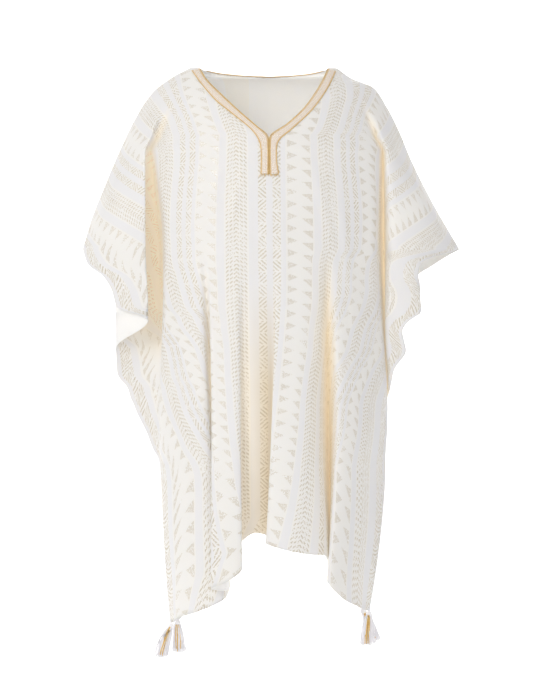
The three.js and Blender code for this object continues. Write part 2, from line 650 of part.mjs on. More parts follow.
// One lock: a three-sided strand that widens on its way down
function lock(start, end, bow) {
  const sides = 3;
  const rings = 2;
  const position = [];
  const index = [];
  for (let i = 0; i <= rings; i += 1) {
    const t = i / rings;
    const out = t ** 0.75;
    const x = start.x + (end.x - start.x) * out + bow * Math.sin(Math.PI * t);
    const y = start.y + (end.y - start.y) * out;
    const z = start.z + (end.z - start.z) * t;
    const radius = 0.62 + 0.75 * t - 0.35 * t ** 4;
    for (let k = 0; k < sides; k += 1) {
      const angle = (2 * Math.PI * k) / sides + bow;
      position.push(x + radius * Math.cos(angle), y + radius * Math.sin(angle), z);
    }
  }
  for (let i = 0; i < rings; i += 1) {
    for (let k = 0; k < sides; k += 1) {
      const a = i * sides + k;
      const b = i * sides + ((k + 1) % sides);
      index.push(a, a + sides, b, b, a + sides, b + sides);
    }
  }
  index.push(0, 1, 2);
  const foot = rings * sides;
  index.push(foot, foot + 2, foot + 1);
  const geometry = new THREE.BufferGeometry();
  geometry.setAttribute('position', new THREE.Float32BufferAttribute(position, 3));
  geometry.setIndex(index);
  return geometry;
}

// Tassel: a small bound head under its hem corner, with locks that stand apart below it
function tassel({ front, side, fallX, fallY, spread, twist }) {
  const corner = (front ? frontNet : backNet).corners[side];
  const profile = [
    new THREE.Vector2(0, 0), new THREE.Vector2(1.6, -0.4), new THREE.Vector2(2.6, -2),
    new THREE.Vector2(2.2, -4), new THREE.Vector2(3.6, -5.2), new THREE.Vector2(5, -8),
    new THREE.Vector2(5.4, -11), new THREE.Vector2(0, -11),
  ];
  const turned = new THREE.LatheGeometry(profile.reverse(), 10);
  turned.rotateX(Math.PI / 2);
  let whole = bodyOf(turned);
  for (let i = 0; i < TASSEL_LOCKS; i += 1) {
    const angle = i * 2.39996 + twist;
    const reach = Math.sqrt((i + 0.5) / TASSEL_LOCKS);
    const start = new THREE.Vector3(4.3 * reach * Math.cos(angle), 4.3 * reach * Math.sin(angle), -9.5);
    const fall = TASSEL_LENGTH - 5 * reach * reach - 3 * Math.abs(Math.sin(5 * angle));
    const end = new THREE.Vector3(
      fallX + spread * reach * Math.cos(angle), fallY + 0.7 * spread * reach * Math.sin(angle), -fall);
    whole = whole.add(bodyOf(lock(start, end, 0)));
  }
  const geometry = geometryOf(whole);
  const inward = side === 'left' ? 1 : -1;
  geometry.translate(corner.x + inward, corner.y, corner.z - SEAM_GAP - 0.15);
  return geometry;
}

const root = new THREE.Group();
function addPart(name, geometry, colour, roughness) {
  const material = new THREE.MeshStandardMaterial({ color: colour, roughness });
  const mesh = new THREE.Mesh(geometry, material);
  mesh.name = name;
  root.add(mesh);
}

addPart('front_panel', thicken(frontNet, CLOTH), 0xf1ede4, 0.8);
addPart('back_panel', thicken(backNet, CLOTH), 0xefeae0, 0.8);
addPart('neck_braid_left', frontBraid(LEFT_BRAID, false), 0xe0c089, 0.6);
addPart('neck_braid_right', frontBraid(RIGHT_BRAID, true), 0xe1c28c, 0.6);
addPart('neck_braid_back', backBraid(), 0xdfbf86, 0.6);
for (const entry of TASSELS) addPart(entry.name, tassel(entry), 0xf6f2ee, 0.7);

export default root;
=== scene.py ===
"""Kaftan in its worn shape: woven panels, neck braid and corner tassels, dressed for a studio picture.

The tables are in millimetres, x across, depth down from the neck point (z = -depth), the front
towards -y. The same named values drive the solids, so each piece lies where its solid lies.
"""

from __future__ import annotations

import logging
from dataclasses import dataclass, field
from enum import Enum
from typing import Sequence

import bpy
import numpy as np
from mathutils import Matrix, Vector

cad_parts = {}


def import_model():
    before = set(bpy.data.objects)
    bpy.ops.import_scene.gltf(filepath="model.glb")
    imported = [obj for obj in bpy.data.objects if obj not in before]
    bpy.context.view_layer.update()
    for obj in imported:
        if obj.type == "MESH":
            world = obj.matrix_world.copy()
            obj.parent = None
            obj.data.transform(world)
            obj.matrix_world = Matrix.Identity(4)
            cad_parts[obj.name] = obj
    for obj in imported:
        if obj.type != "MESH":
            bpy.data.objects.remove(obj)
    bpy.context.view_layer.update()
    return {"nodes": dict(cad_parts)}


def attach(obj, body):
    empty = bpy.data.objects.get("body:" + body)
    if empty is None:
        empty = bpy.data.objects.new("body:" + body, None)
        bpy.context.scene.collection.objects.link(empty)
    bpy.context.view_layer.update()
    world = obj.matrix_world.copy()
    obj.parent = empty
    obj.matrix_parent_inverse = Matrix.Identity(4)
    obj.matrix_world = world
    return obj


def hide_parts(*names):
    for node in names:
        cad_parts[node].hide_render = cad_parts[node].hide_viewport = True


LOG = logging.getLogger("kaftan")
MM = 0.001
# The solids' cloth, the gap at seams, the plain body, and the depths where sleeves end and skirt begins
CLOTH = 1.5
SEAM_GAP = 0.3
BODY_HALF_WIDTH = 215.0
TIP_DEPTH = 322.0
SKIRT_START = 698.0
# The flat cut's half width and length, half the neck's width, and the stripe repeat across the cloth
CUT_HALF_WIDTH = 516.0
CUT_LENGTH = 860.0
CUT_NECK = 120.0
REPEAT = 172.0
# Depths at which the fold tables give their values: chest, elbow, waist, hip and hem
LEVELS = (150.0, 310.0, 446.0, 620.0, 860.0)

Table = Sequence[Sequence[float]]


class Facing(Enum):
    """Which half of the garment a panel is, by the sign of its y."""

    FRONT = -1
    BACK = 1


@dataclass(frozen=True)
class SleeveFold:
    """A fold of the sleeve part of a panel: x and y at the five levels."""

    name: str
    x: tuple[float, ...]
    y: tuple[float, ...]


@dataclass(frozen=True)
class BodyFold:
    """A fold of the body part: x at four levels, depth behind the plain form at hip and hem, hem drop."""

    name: str
    chest: float
    elbow: float
    hip: float
    hem: float
    hip_in: float
    hem_in: float
    drop: float


LEFT_SLEEVE = (
    SleeveFold("edge", (-260, -321, -334, -300, -240), (0, 0, -4, 70, 90)),
    SleeveFold("arm", (-243, -290, -262, -280, -225), (-32, -47, -52, 66, 80)),
    SleeveFold("cuffFold", (-214, -213, -208, -270, -212), (-58, -70, -64, 62, 70)),
    SleeveFold("flapFold", (-216, -246, -266, -262, -200), (-44, -34, -34, 56, 62)),
    SleeveFold("gap", (-206, -193, -187, -192, -188), (-34, 14, -4, -2, 16)),
)
RIGHT_SLEEVE = (
    SleeveFold("gap", (200, 203, 205, 209, 203), (-34, 16, 6, -6, 16)),
    SleeveFold("foldEdge", (207, 213, 209, 216, 196), (-57, -62, -46, 6, 40)),
    SleeveFold("crest", (218, 250, 266, 232, 194), (-50, -66, -54, 18, 60)),
    SleeveFold("arm", (230, 296, 240, 250, 190), (-30, -44, -24, 30, 70)),
    SleeveFold("edge", (244, 332, 236, 260, 186), (0, 0, -6, 40, 80)),
)
FRONT_BODY = (
    BodyFold("sideLeft", -194, -178, -187, -171, 24, 84, 971),
    BodyFold("seamLeft", -180, -168, -165, -152, 14, 50, 962),
    BodyFold("lobeLeft", -158, -146, -138, -122, 3, 24, 951),
    BodyFold("crestLeft", -138, -120, -103, -79, 10, 26, 931),
    BodyFold("deepLeft", -130, -112, -94, -66, 62, 128, 900),
    BodyFold("underLeft", -124, -106, -88, -74, 12, 20, 914),
    BodyFold("lapLeft", -118, -101, -97, -98, 2, 2, 910),
    BodyFold("lapMiddle", -98, -78, -72, -70, -2, -2, 897),
    BodyFold("lapEdge", -72, -52, -49, -45, 0, 4, 876),
    BodyFold("lapBack", -60, -43, -45, -60, 16, 34, 850),
    BodyFold("floor", -44, -32, -26, -26, 18, 44, 815),
    BodyFold("centre", 2, 3, 6, 6, 16, 40, 820),
    BodyFold("underMiddle", 10, 12, 14, 20, 10, 28, 829),
    BodyFold("crestMiddle", 18, 18, 7, -3, 0, 8, 831),
    BodyFold("lobeMiddle", 38, 36, 34, 30, -4, -8, 842),
    BodyFold("lobeEdge", 62, 66, 66, 72, -3, -4, 850),
    BodyFold("valleyIn", 86, 90, 89, 101, 10, 12, 853),
    BodyFold("deepRight", 98, 102, 105, 112, 50, 100, 878),
    BodyFold("crestRight", 110, 116, 121, 105, 2, 14, 902),
    BodyFold("lobeRight", 134, 138, 146, 132, 0, 24, 930),
    BodyFold("seamRight", 166, 164, 170, 156, 10, 48, 943),
    BodyFold("sideRight", 192, 187, 209, 178, 26, 80, 950),
)
BACK_LEFT_SLEEVE = (
    SleeveFold("edge", (-259, -319, -300, -300, -300), (0, 0, 10, 40, 60)),
    SleeveFold("arm", (-238, -286, -250, -240, -240), (34, 52, 44, 70, 80)),
    SleeveFold("gap", (-206, -222, -212, -196, -186), (44, 70, 60, 76, 92)),
)
BACK_RIGHT_SLEEVE = (
    SleeveFold("gap", (200, 220, 216, 208, 190), (44, 70, 64, 80, 96)),
    SleeveFold("arm", (226, 292, 250, 240, 220), (34, 52, 46, 70, 80)),
    SleeveFold("edge", (243, 330, 300, 300, 260), (0, 0, 10, 40, 60)),
)
BACK_BODY = (
    BodyFold("sideLeft", -186, -186, -172, -160, 96, 53, 964),
    BodyFold("seamLeft", -174, -170, -160, -146, 60, 60, 962),
    BodyFold("turnLeft", -160, -158, -152, -140, 60, 40, 940),
    BodyFold("lobeLeft", -130, -128, -124, -118, 6, 0, 892),
    BodyFold("deepLeft", -92, -90, -86, -84, 12, 46, 846),
    BodyFold("crestLeft", -56, -56, -54, -52, -2, -8, 816),
    BodyFold("deepMiddle", -20, -20, -22, -24, 6, 32, 798),
    BodyFold("centre", 2, 2, 4, 6, -2, -8, 798),
    BodyFold("crestRight", 36, 38, 38, 36, 4, 28, 812),
    BodyFold("lobeRight", 74, 76, 78, 72, -3, -8, 836),
    BodyFold("deepRight", 104, 106, 108, 102, 14, 50, 862),
    BodyFold("lobeEdge", 134, 136, 138, 126, 6, 2, 914),
    BodyFold("turnRight", 158, 160, 160, 144, 60, 40, 934),
    BodyFold("seamRight", 172, 172, 167, 152, 60, 60, 943),
    BodyFold("sideRight", 184, 188, 187, 168, 62, 43, 945),
)
# Depth and x of the shoulder and arm seams and of the neck edges
LEFT_RIDGE = (
    (4, -137), (22, -170), (46, -201), (89, -230), (144, -257), (217, -288), (273, -310), (322, -324),
)
RIGHT_RIDGE = (
    (4, 120), (23, 147), (38, 184), (68, 205), (119, 231), (163, 249), (235, 285), (322, 335),
)
LEFT_NECK = ((4, -120), (26, -107), (53, -81), (84, -49), (107, -23), (126, 2))
RIGHT_NECK = ((4, 105), (53, 84), (88, 54), (113, 26), (126, 2))
BACK_LEFT_NECK = ((4, -119), (8, -109), (12, -88), (16, -46), (18, 2))
BACK_RIGHT_NECK = ((4, 105), (8, 98), (12, 82), (16, 46), (18, 2))
# Free side edges: depth, the fold the edge lies beyond, x
LEFT_EDGE = (
    (322, 0, -324), (350, 0, -312), (371, 0, -284), (402, 0, -252), (446, 2, -208), (499, 3, -273),
    (530, 3, -265), (563, 3, -247), (602, 3, -233), (651, 3, -208), (698, 4, -191),
)
RIGHT_EDGE = (
    (322, 0, 335), (345, 1, 266), (371, 1, 261), (424, 2, 262), (446, 2, 246), (464, 2, 234),
    (497, 2, 241), (530, 2, 221), (585, 4, 205),
)
BACK_LEFT_EDGE = (
    (322, 0, -322), (371, 0, -270), (420, 1, -236), (499, 1, -224), (600, 1, -206), (698, 2, -183),
)
BACK_RIGHT_EDGE = (
    (322, 0, 333), (331, 0, 316), (347, 0, 291), (371, 1, 258), (420, 1, 240), (530, 1, 216), (620, 2, 205),
)
EDGE_MARKS = (346, 371, 396, 420, 446, 464, 481, 499, 530, 563, 602, 640, 670)
# Braid edges on the front: outer x and depth, inner x and depth
LEFT_BRAID = (
    (-133, 10, -119, 7), (-117, 33, -107, 27), (-90, 65, -80, 55), (-61, 89, -52, 82),
    (-26, 119, -19, 111), (-15, 137, -1, 127), (-12, 152, 1, 142), (-12, 193, 1, 193),
)
RIGHT_BRAID = (
    (118, 11, 105, 7), (104, 42, 92, 35), (77, 81, 65, 76), (44, 113, 33, 107),
    (18, 137, 5, 127), (15, 153, 3, 142), (16, 177, 3, 172), (19, 192, 3, 194),
)
# Light painted into a deep fold: a painted warm shade that tints the cloth's colour and a painted glow given
# as emission, from 0 to 1, and the depths at which both begin, are full and have gone again
OPEN_CLOTH = (0, 0, 0, 1, 2)
HOLLOW_FADE = 100.0
HOLLOWS = {
    "deepLeft": (0.35, 0.28, 350, 560, 1000), "deepRight": (1.0, 0.27, 330, 470, 1000),
    "gapLeft": (0.8, 0.36, 60, 170, 520), "gapRight": (0.8, 0.34, 60, 170, 680),
    "floor": (0.4, 0.12, 380, 560, 1000), "centre": (0.85, 0.0, 380, 560, 1000),
    "lapBack": (0.45, 0.12, 380, 560, 1000), "underMiddle": (0.3, 0.08, 380, 560, 1000),
    "valleyIn": (0.25, 0.08, 330, 470, 1000), "underLeft": (0.2, 0.06, 350, 560, 1000),
    "deepMiddle": (0.4, 0.12, 300, 500, 1000),
}
# Creases, given one by one as seen from the front: x and depth of both ends, half width, height
FRONT_CREASES = (
    (-60, 150, -150, 330, 9, 1.6), (-40, 170, -96, 420, 8, 1.2), (70, 150, 120, 340, 9, 1.6),
    (120, 190, 150, 470, 10, 1.8), (20, 190, 34, 520, 9, 1.2), (-20, 200, -16, 560, 8, -1.2),
)
BACK_CREASES = (
    (-50, 60, -150, 320, 11, 1.8), (60, 60, 160, 330, 11, 1.8), (0, 120, 10, 560, 12, 1.6),
)
# Braid: half width, length of one plait and its height
BAND_HALF_WIDTH, PLAIT, PLAIT_HEIGHT = 6.5, 4.4, 0.28
# Powers of the key, fill and paper lights in watts, and the strength of the room's own light
KEY, FILL, PAPER, ROOM = 43.0, 4.0, 25.0, 0.67
# The picture's height in pixels and the camera's sensor width in millimetres
PICTURE_HEIGHT, SENSOR = 688, 36.0


def along(positions: Sequence[float], values: Sequence[float], at: np.ndarray) -> np.ndarray:
    """Smooth value of a short list given at rising positions, held flat past both ends.

    Each stretch is a cubic whose end slopes are the harmonic mean of the slopes beside them, so
    the value never overshoots.

    Args:
        positions: Rising positions.
        values: The value at each position.
        at: Where the value is wanted, of any shape.

    Returns:
        The values, shaped as at.
    """
    p = np.asarray(positions, float)
    v = np.asarray(values, float)
    a = np.clip(np.asarray(at, float), p[0], p[-1])
    i = np.clip(np.searchsorted(p, a, side="left") - 1, 0, len(p) - 2)
    slope = np.diff(v) / np.diff(p)
    tangent = np.concatenate([slope[:1], np.zeros(len(p) - 2), slope[-1:]])
    product = slope[:-1] * slope[1:]
    total = np.where(product > 0, slope[:-1] + slope[1:], 1.0)
    tangent[1:-1] = np.where(product > 0, 2 * product / total, 0.0)
    step = p[i + 1] - p[i]
    t = (a - p[i]) / step
    return (
        (1 + 2 * t) * (1 - t) ** 2 * v[i]
        + t * (1 - t) ** 2 * step * tangent[i]
        + t * t * (3 - 2 * t) * v[i + 1]
        + t * t * (t - 1) * step * tangent[i + 1]
    )


def x_at(table: Table, depth: np.ndarray) -> np.ndarray:
    """x of a table of (depth, x) pairs at the given depths."""
    return along([row[0] for row in table], [row[-1] for row in table], depth)


def curve_through(points: np.ndarray, t: np.ndarray) -> np.ndarray:
    """Smooth curve through each row of points, with knots spaced by the square root of the gaps.

    Args:
        points: Rows of points, shaped (rows, points, 3).
        t: Place along each row's curve, one unit per point, shaped (rows, places).

    Returns:
        The curve's points, shaped (rows, places, 3).
    """
    count = points.shape[1]
    before = 2 * points[:, :1] - points[:, 1:2]
    after = 2 * points[:, -1:] - points[:, -2:-1]
    run = np.concatenate([before, points, after], axis=1)
    i = np.clip(np.floor(t).astype(int), 0, count - 2)
    w = (t - i)[..., None]
    rows = np.arange(len(points))[:, None]
    p0, p1, p2, p3 = (run[rows, i + k] for k in range(4))
    spans = ((p0, p1), (p1, p2), (p2, p3))
    d0, d1, d2 = (np.maximum(((b - a) ** 2).sum(-1, keepdims=True), 1e-8) ** 0.25 for a, b in spans)
    start = ((p1 - p0) / d0 - (p2 - p0) / (d0 + d1) + (p2 - p1) / d1) * d1
    end = ((p2 - p1) / d1 - (p3 - p1) / (d1 + d2) + (p3 - p2) / d2) * d1
    return (
        (2 * w**3 - 3 * w**2 + 1) * p1
        + (w**3 - 2 * w**2 + w) * start
        + (3 * w**2 - 2 * w**3) * p2
        + (w**3 - w**2) * end
    )


def lengths(points: np.ndarray) -> np.ndarray:
    """Running length along the second axis of rows of points, from 0 at the first point."""
    gaps = np.linalg.norm(np.diff(points, axis=1), axis=-1)
    return np.concatenate([np.zeros((len(points), 1)), np.cumsum(gaps, axis=1)], axis=1)


def smoothed(values: np.ndarray, reach: int, **padding: str) -> np.ndarray:
    """Values along the first axis, each averaged with its neighbours by a bell-shaped weight.

    Args:
        values: The values.
        reach: Neighbours to each side.
        padding: How numpy pads both ends.

    Returns:
        The averages, shaped as values.
    """
    weights = np.hanning(2 * reach + 1)
    weights /= weights.sum()
    return np.apply_along_axis(
        lambda line: np.convolve(np.pad(line, reach, **padding), weights, "valid"), 0, values
    )


def grid_faces(index: np.ndarray, flip: bool) -> np.ndarray:
    """Four-cornered faces of a grid of vertex numbers, turned over when flip is set."""
    a, b = index[:-1, :-1], index[:-1, 1:]
    c, d = index[1:, :-1], index[1:, 1:]
    quads = np.stack([a, b, d, c] if flip else [a, c, d, b], axis=-1)
    return quads.reshape(-1, 4)


def vertex_normals(points: np.ndarray, faces: np.ndarray) -> np.ndarray:
    """Unit normal at each vertex: the sum of the cross products of its faces' diagonals."""
    cross = np.cross(points[faces[:, 2]] - points[faces[:, 0]], points[faces[:, 3]] - points[faces[:, 1]])
    total = np.zeros_like(points)
    for k in range(4):
        np.add.at(total, faces[:, k], cross)
    return total / np.maximum(np.linalg.norm(total, axis=1, keepdims=True), 1e-9)


@dataclass
class Surface:
    """A finished grid surface: points in millimetres, faces, the cut's coordinates and other values."""

    points: np.ndarray
    faces: np.ndarray
    cut: np.ndarray
    values: dict[str, np.ndarray] = field(default_factory=dict)
    caps: np.ndarray = field(default_factory=lambda: np.zeros((0, 3), int))

    def make(self, name: str, materials: Sequence[bpy.types.Material]) -> bpy.types.Object:
        """Puts the surface into a mesh object at the origin.

        Args:
            name: The object's name.
            materials: Its materials, in slot order.

        Returns:
            The new object, smooth shaded, with the cut's coordinates in metres as its UV map.
        """
        mesh = bpy.data.meshes.new(name)
        mesh.from_pydata((self.points * MM).tolist(), [], self.faces.tolist() + self.caps.tolist())
        loops = np.empty(len(mesh.loops), dtype=np.int32)
        mesh.loops.foreach_get("vertex_index", loops)
        uv = mesh.uv_layers.new(name="cut")
        uv.data.foreach_set("uv", (self.cut[loops] * MM).astype(np.float32).ravel())
        for key, value in self.values.items():
            layer = mesh.attributes.new(key, "FLOAT", "POINT")
            layer.data.foreach_set("value", value.astype(np.float32))
        mesh.polygons.foreach_set("use_smooth", np.ones(len(mesh.polygons), dtype=bool))
        for material in materials:
            mesh.materials.append(material)
        mesh.update()
        piece = bpy.data.objects.new(name, mesh)
        bpy.context.scene.collection.objects.link(piece)
        return piece


def joined(parts: Sequence[Surface]) -> Surface:
    """Several surfaces as one, their values kept side by side."""
    starts = np.cumsum([0] + [len(part.points) for part in parts[:-1]])
    return Surface(
        np.concatenate([part.points for part in parts]),
        np.concatenate([part.faces + start for part, start in zip(parts, starts)]),
        np.concatenate([part.cut for part in parts]),
        {key: np.concatenate([part.values[key] for part in parts]) for key in parts[0].values},
        np.concatenate([part.caps + start for part, start in zip(parts, starts)]),
    )


def tubes(paths: np.ndarray, radius: np.ndarray, sides: int, twist: float = 0.0) -> Surface:
    """Closed round tubes: a circle carried along each path, square to the path, with pointed ends.

    Args:
        paths: Paths in millimetres, shaped (tubes, stations, 3).
        radius: Radius at each station, shaped (tubes, stations).
        sides: Corners of the circle.
        twist: Height of a twisted ridge as a share of the radius.

    Returns:
        All the tubes as one surface; its cut coordinates are round and along each tube.
    """
    count, stations, _ = paths.shape
    ahead = np.gradient(paths, axis=1)
    ahead /= np.maximum(np.linalg.norm(ahead, axis=-1, keepdims=True), 1e-9)
    steep = np.abs(ahead[..., 2:]) > 0.9
    side = np.cross(ahead, np.where(steep, [1.0, 0.0, 0.0], [0.0, 0.0, 1.0]))
    side /= np.linalg.norm(side, axis=-1, keepdims=True)
    other = np.cross(ahead, side)
    turn = np.arange(sides) * 2 * np.pi / sides
    run = lengths(paths)
    wide = radius[..., None] * (1 + twist * np.cos(2 * turn + run[..., None] * 2.2))
    ring = paths[:, :, None] + wide[..., None] * (
        np.cos(turn)[:, None] * side[:, :, None] + np.sin(turn)[:, None] * other[:, :, None]
    )
    number = np.arange(count * stations * sides).reshape(count, stations, sides)
    around = np.concatenate([number, number[:, :, :1]], axis=2)
    a, b, c, d = around[:, :-1, :-1], around[:, :-1, 1:], around[:, 1:, :-1], around[:, 1:, 1:]
    walls = np.stack([a, b, d, c], axis=-1).reshape(-1, 4)
    points = ring.reshape(-1, 3)
    tips = np.arange(count)[:, None] * 2 + len(points) + np.arange(2)
    ends = np.concatenate([paths[:, 0], paths[:, -1]], axis=1).reshape(-1, 3)
    first, last = around[:, 0], around[:, -1]
    near = np.stack([first[:, 1:], first[:, :-1]], axis=-1)
    far = np.stack([last[:, :-1], last[:, 1:]], axis=-1)
    near = np.concatenate([near, np.repeat(tips[:, None, :1], sides, axis=1)], axis=-1).reshape(-1, 3)
    far = np.concatenate([far, np.repeat(tips[:, None, 1:], sides, axis=1)], axis=-1).reshape(-1, 3)
    cut = np.stack([np.broadcast_to(turn, run.shape + (sides,)), np.repeat(run[..., None], sides, -1)], -1)
    cut = np.concatenate([cut.reshape(-1, 2), np.zeros((2 * count, 2))])
    return Surface(np.concatenate([points, ends]), walls, cut, {}, np.concatenate([near, far]))


def plaited_band(
    points: np.ndarray, normal: np.ndarray, across: np.ndarray, lifts: tuple[float, float, float],
    oval: float, capped: bool,
) -> Surface:
    """Woven band: a flat oval profile carried along a line and plaited on its face.

    The plait is a wave whose phase runs along the band and out to both sides from its middle.

    Args:
        points: Points on the cloth under the band, shaped (stations, across, 3).
        normal: The cloth's outward direction at each point.
        across: Shares of the band's width.
        lifts: Height of the underside, of the face at its edges, and of the middle above that.
        oval: Share of the half width at which the oval has fallen to the edge's height.
        capped: Whether both ends are closed.

    Returns:
        The band; its cut coordinates run across and along it.
    """
    run = lengths(points[:, len(across) // 2][None])[0][:, None]
    off = np.abs(2 * across - 1)[None, :]
    swell = (1 - (off / oval) ** 6).clip(0, 1)
    wave = PLAIT_HEIGHT * np.sin(2 * np.pi * (run / PLAIT + 1.1 * off)) * swell
    under, edge, crown = lifts
    top = points + normal * (edge + crown * swell + wave)[..., None]
    low = points + normal * under
    loop = np.concatenate([top, low[:, ::-1]], axis=1)
    rows, wide = loop.shape[:2]
    index = np.arange(rows * wide).reshape(rows, wide)
    faces = grid_faces(np.concatenate([index, index[:, :1]], axis=1), False)
    caps = np.zeros((0, 3), int)
    if capped:
        rings = index[0], index[-1, ::-1]
        fans = [np.stack([ring[1:-1], ring[2:], np.full(wide - 2, ring[0])], 1) for ring in rings]
        caps = np.concatenate(fans)[:, [1, 0, 2]]
    flat = loop.reshape(-1, 3)
    first = faces[: len(across) - 1]
    facing = np.cross(flat[first[:, 1]] - flat[first[:, 0]], flat[first[:, 3]] - flat[first[:, 0]])
    if (facing @ normal.reshape(-1, 3).mean(axis=0)).sum() < 0:
        faces, caps = faces[:, ::-1], caps[:, ::-1]
    width = (2 * across[None, :] - 1 + 0 * run) * BAND_HALF_WIDTH
    length = run + 0 * width
    cut = np.stack([np.concatenate([width, width[:, ::-1]], 1), np.concatenate([length, length], 1)], -1)
    return Surface(flat, faces, cut.reshape(-1, 2), {}, caps)


def dress(pieces: Sequence[bpy.types.Object], stands_for: str) -> list[bpy.types.Object]:
    """Rides pieces on the root and hides the solid that they stand for."""
    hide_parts(stands_for)
    for piece in pieces:
        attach(piece, "root")
    return list(pieces)


@dataclass
class Panel:
    """One half of the garment: a rectangle of cloth hung over a shoulder line and laid in folds."""

    name: str
    facing: Facing
    left_sleeve: tuple[SleeveFold, ...]
    body: tuple[BodyFold, ...]
    right_sleeve: tuple[SleeveFold, ...]
    left_edge: Table
    right_edge: Table
    left_neck: Table
    right_neck: Table
    neck_depth: float
    cut_neck_drop: float
    reach_marks: tuple[float, ...]
    reaches: tuple[float, ...]
    plain_reach: tuple[float, ...]
    creases: Table = ()
    inner_side: "Panel | None" = None
    row_step: float = 5.6
    column_step: float = 4.3
    hem_turn: float = 9.0
    wall: float = 1.2

    @property
    def middle(self) -> int:
        """Number of the centre fold in a section."""
        return len(self.left_sleeve) + [fold.name for fold in self.body].index("centre")

    def plain_body(self, x: np.ndarray, depth: np.ndarray) -> np.ndarray:
        """Distance of the plain rounded body from the middle plane: reach times an ellipse's rise."""
        rise = np.sqrt(np.maximum(0.04, 1 - (x / BODY_HALF_WIDTH) ** 2))
        return along(LEVELS, self.plain_reach, depth) * rise

    def fold_paths(self, depth: np.ndarray) -> tuple[np.ndarray, np.ndarray, np.ndarray]:
        """Where each fold runs.

        Args:
            depth: Depths below the neck point, none above the first level.

        Returns:
            x and y of each fold at each depth, shaped (rows, folds), and how deep each one hangs.
        """
        sign = self.facing.value
        xs, ys, drops = [], [], []
        for fold in self.left_sleeve:
            xs.append(along(LEVELS, fold.x, depth))
            ys.append(along(LEVELS, fold.y, depth))
            drops.append(860.0)
        for fold in self.body:
            between = 0.6 * fold.elbow + 0.4 * fold.hip
            x = along(LEVELS, (fold.chest, fold.elbow, between, fold.hip, fold.hem), depth)
            inward = along(LEVELS, (0, 0, 0.35 * fold.hip_in, fold.hip_in, fold.hem_in), depth)
            xs.append(x)
            ys.append(sign * (self.plain_body(x, depth) - inward))
            drops.append(fold.drop)
        for fold in self.right_sleeve:
            xs.append(along(LEVELS, fold.x, depth))
            ys.append(along(LEVELS, fold.y, depth))
            drops.append(860.0)
        x, y, drop = np.stack(xs, 1), np.stack(ys, 1), np.array(drops)
        if self.inner_side is not None:
            self.follow_seams(x, y, drop, depth)
        return x, y, drop

    def follow_seams(self, x: np.ndarray, y: np.ndarray, drop: np.ndarray, depth: np.ndarray) -> None:
        """Brings this panel's side seams against the other panel's, from the elbow down, in place."""
        other = self.inner_side
        front_x, front_y, front_drop = other.fold_paths(depth)
        t = np.clip((depth - 350) / (499 - 350), 0, 1)
        share = t * t * (3 - 2 * t)
        for name, inward in (("seamLeft", 1), ("seamRight", -1)):
            own = len(self.left_sleeve) + [fold.name for fold in self.body].index(name)
            its = len(other.left_sleeve) + [fold.name for fold in other.body].index(name)
            space = CLOTH + SEAM_GAP
            x[:, own] += (front_x[:, its] + inward * space * 0.75 - x[:, own]) * share
            y[:, own] += (front_y[:, its] + space * 1.05 - y[:, own]) * share
            drop[own] = front_drop[its]

    def sections(self, depth: np.ndarray) -> tuple[np.ndarray, np.ndarray]:
        """Fold points of the sections at the given depths.

        Above the first level the first level's section is squeezed between ridge and neck edge.

        Args:
            depth: Depths below the neck point; below the skirt's start each fold has its own drop.

        Returns:
            The left half, from outer edge to middle, and the right half, from middle to outer edge.
        """
        sign = self.facing.value
        seam = sign * (SEAM_GAP / 2 + CLOTH / 2)
        at = np.maximum(depth, LEVELS[0])
        x, y, drop = self.fold_paths(at)
        tip = at <= TIP_DEPTH
        x[:, 0] = np.where(tip, x_at(LEFT_RIDGE, at), x[:, 0])
        x[:, -1] = np.where(tip, x_at(RIGHT_RIDGE, at), x[:, -1])
        y[:, 0] += seam
        y[:, -1] += seam
        skirt = np.clip((depth - SKIRT_START) / (LEVELS[-1] - SKIRT_START), 0, 1)[:, None]
        z = -np.where(skirt > 0, SKIRT_START + skirt * (drop - SKIRT_START), depth[:, None])
        halves = []
        for ridge, neck, part in (
            (LEFT_RIDGE, self.left_neck, slice(0, self.middle + 1)),
            (RIGHT_RIDGE, self.right_neck, slice(self.middle, None)),
        ):
            px, py = x[:, part], y[:, part]
            wide = x_at(ridge, np.full_like(depth, LEVELS[0]))[:, None]
            inner, deep = x[:, [self.middle]], y[:, [self.middle]] - seam
            edge, throat = x_at(ridge, depth)[:, None], x_at(neck, depth)[:, None]
            reach = sign * along(self.reach_marks, self.reaches, depth)[:, None]
            above = (depth < LEVELS[0])[:, None]
            share, out = (px - wide) / (inner - wide), (py - seam) / deep
            even = self.even_shares(part)
            smooth = (1 - np.clip(1 - even, 0, 1) ** 1.6) ** 0.75
            t = np.clip((depth - 60) / (LEVELS[0] - 60), 0, 1)[:, None]
            kept = t * t * (3 - 2 * t)
            share, out = even + (share - even) * kept, smooth + (out - smooth) * kept
            px = np.where(above, edge + (throat - edge) * share, px)
            py = np.where(above, seam + reach * out, py)
            halves.append(np.stack([px, py, np.broadcast_to(z[:, part], px.shape)], -1))
        return halves[0], halves[1]

    def even_shares(self, part: slice) -> np.ndarray:
        """Share of the first level's half, ridge to middle, at which each fold lies by its own length."""
        x, y, _ = self.fold_paths(np.array([LEVELS[0]]))
        steps = np.hypot(np.diff(x[0, part]), np.diff(y[0, part]))
        run = np.concatenate([[0.0], np.cumsum(steps)]) / steps.sum()
        return run if part.start == 0 else 1 - run

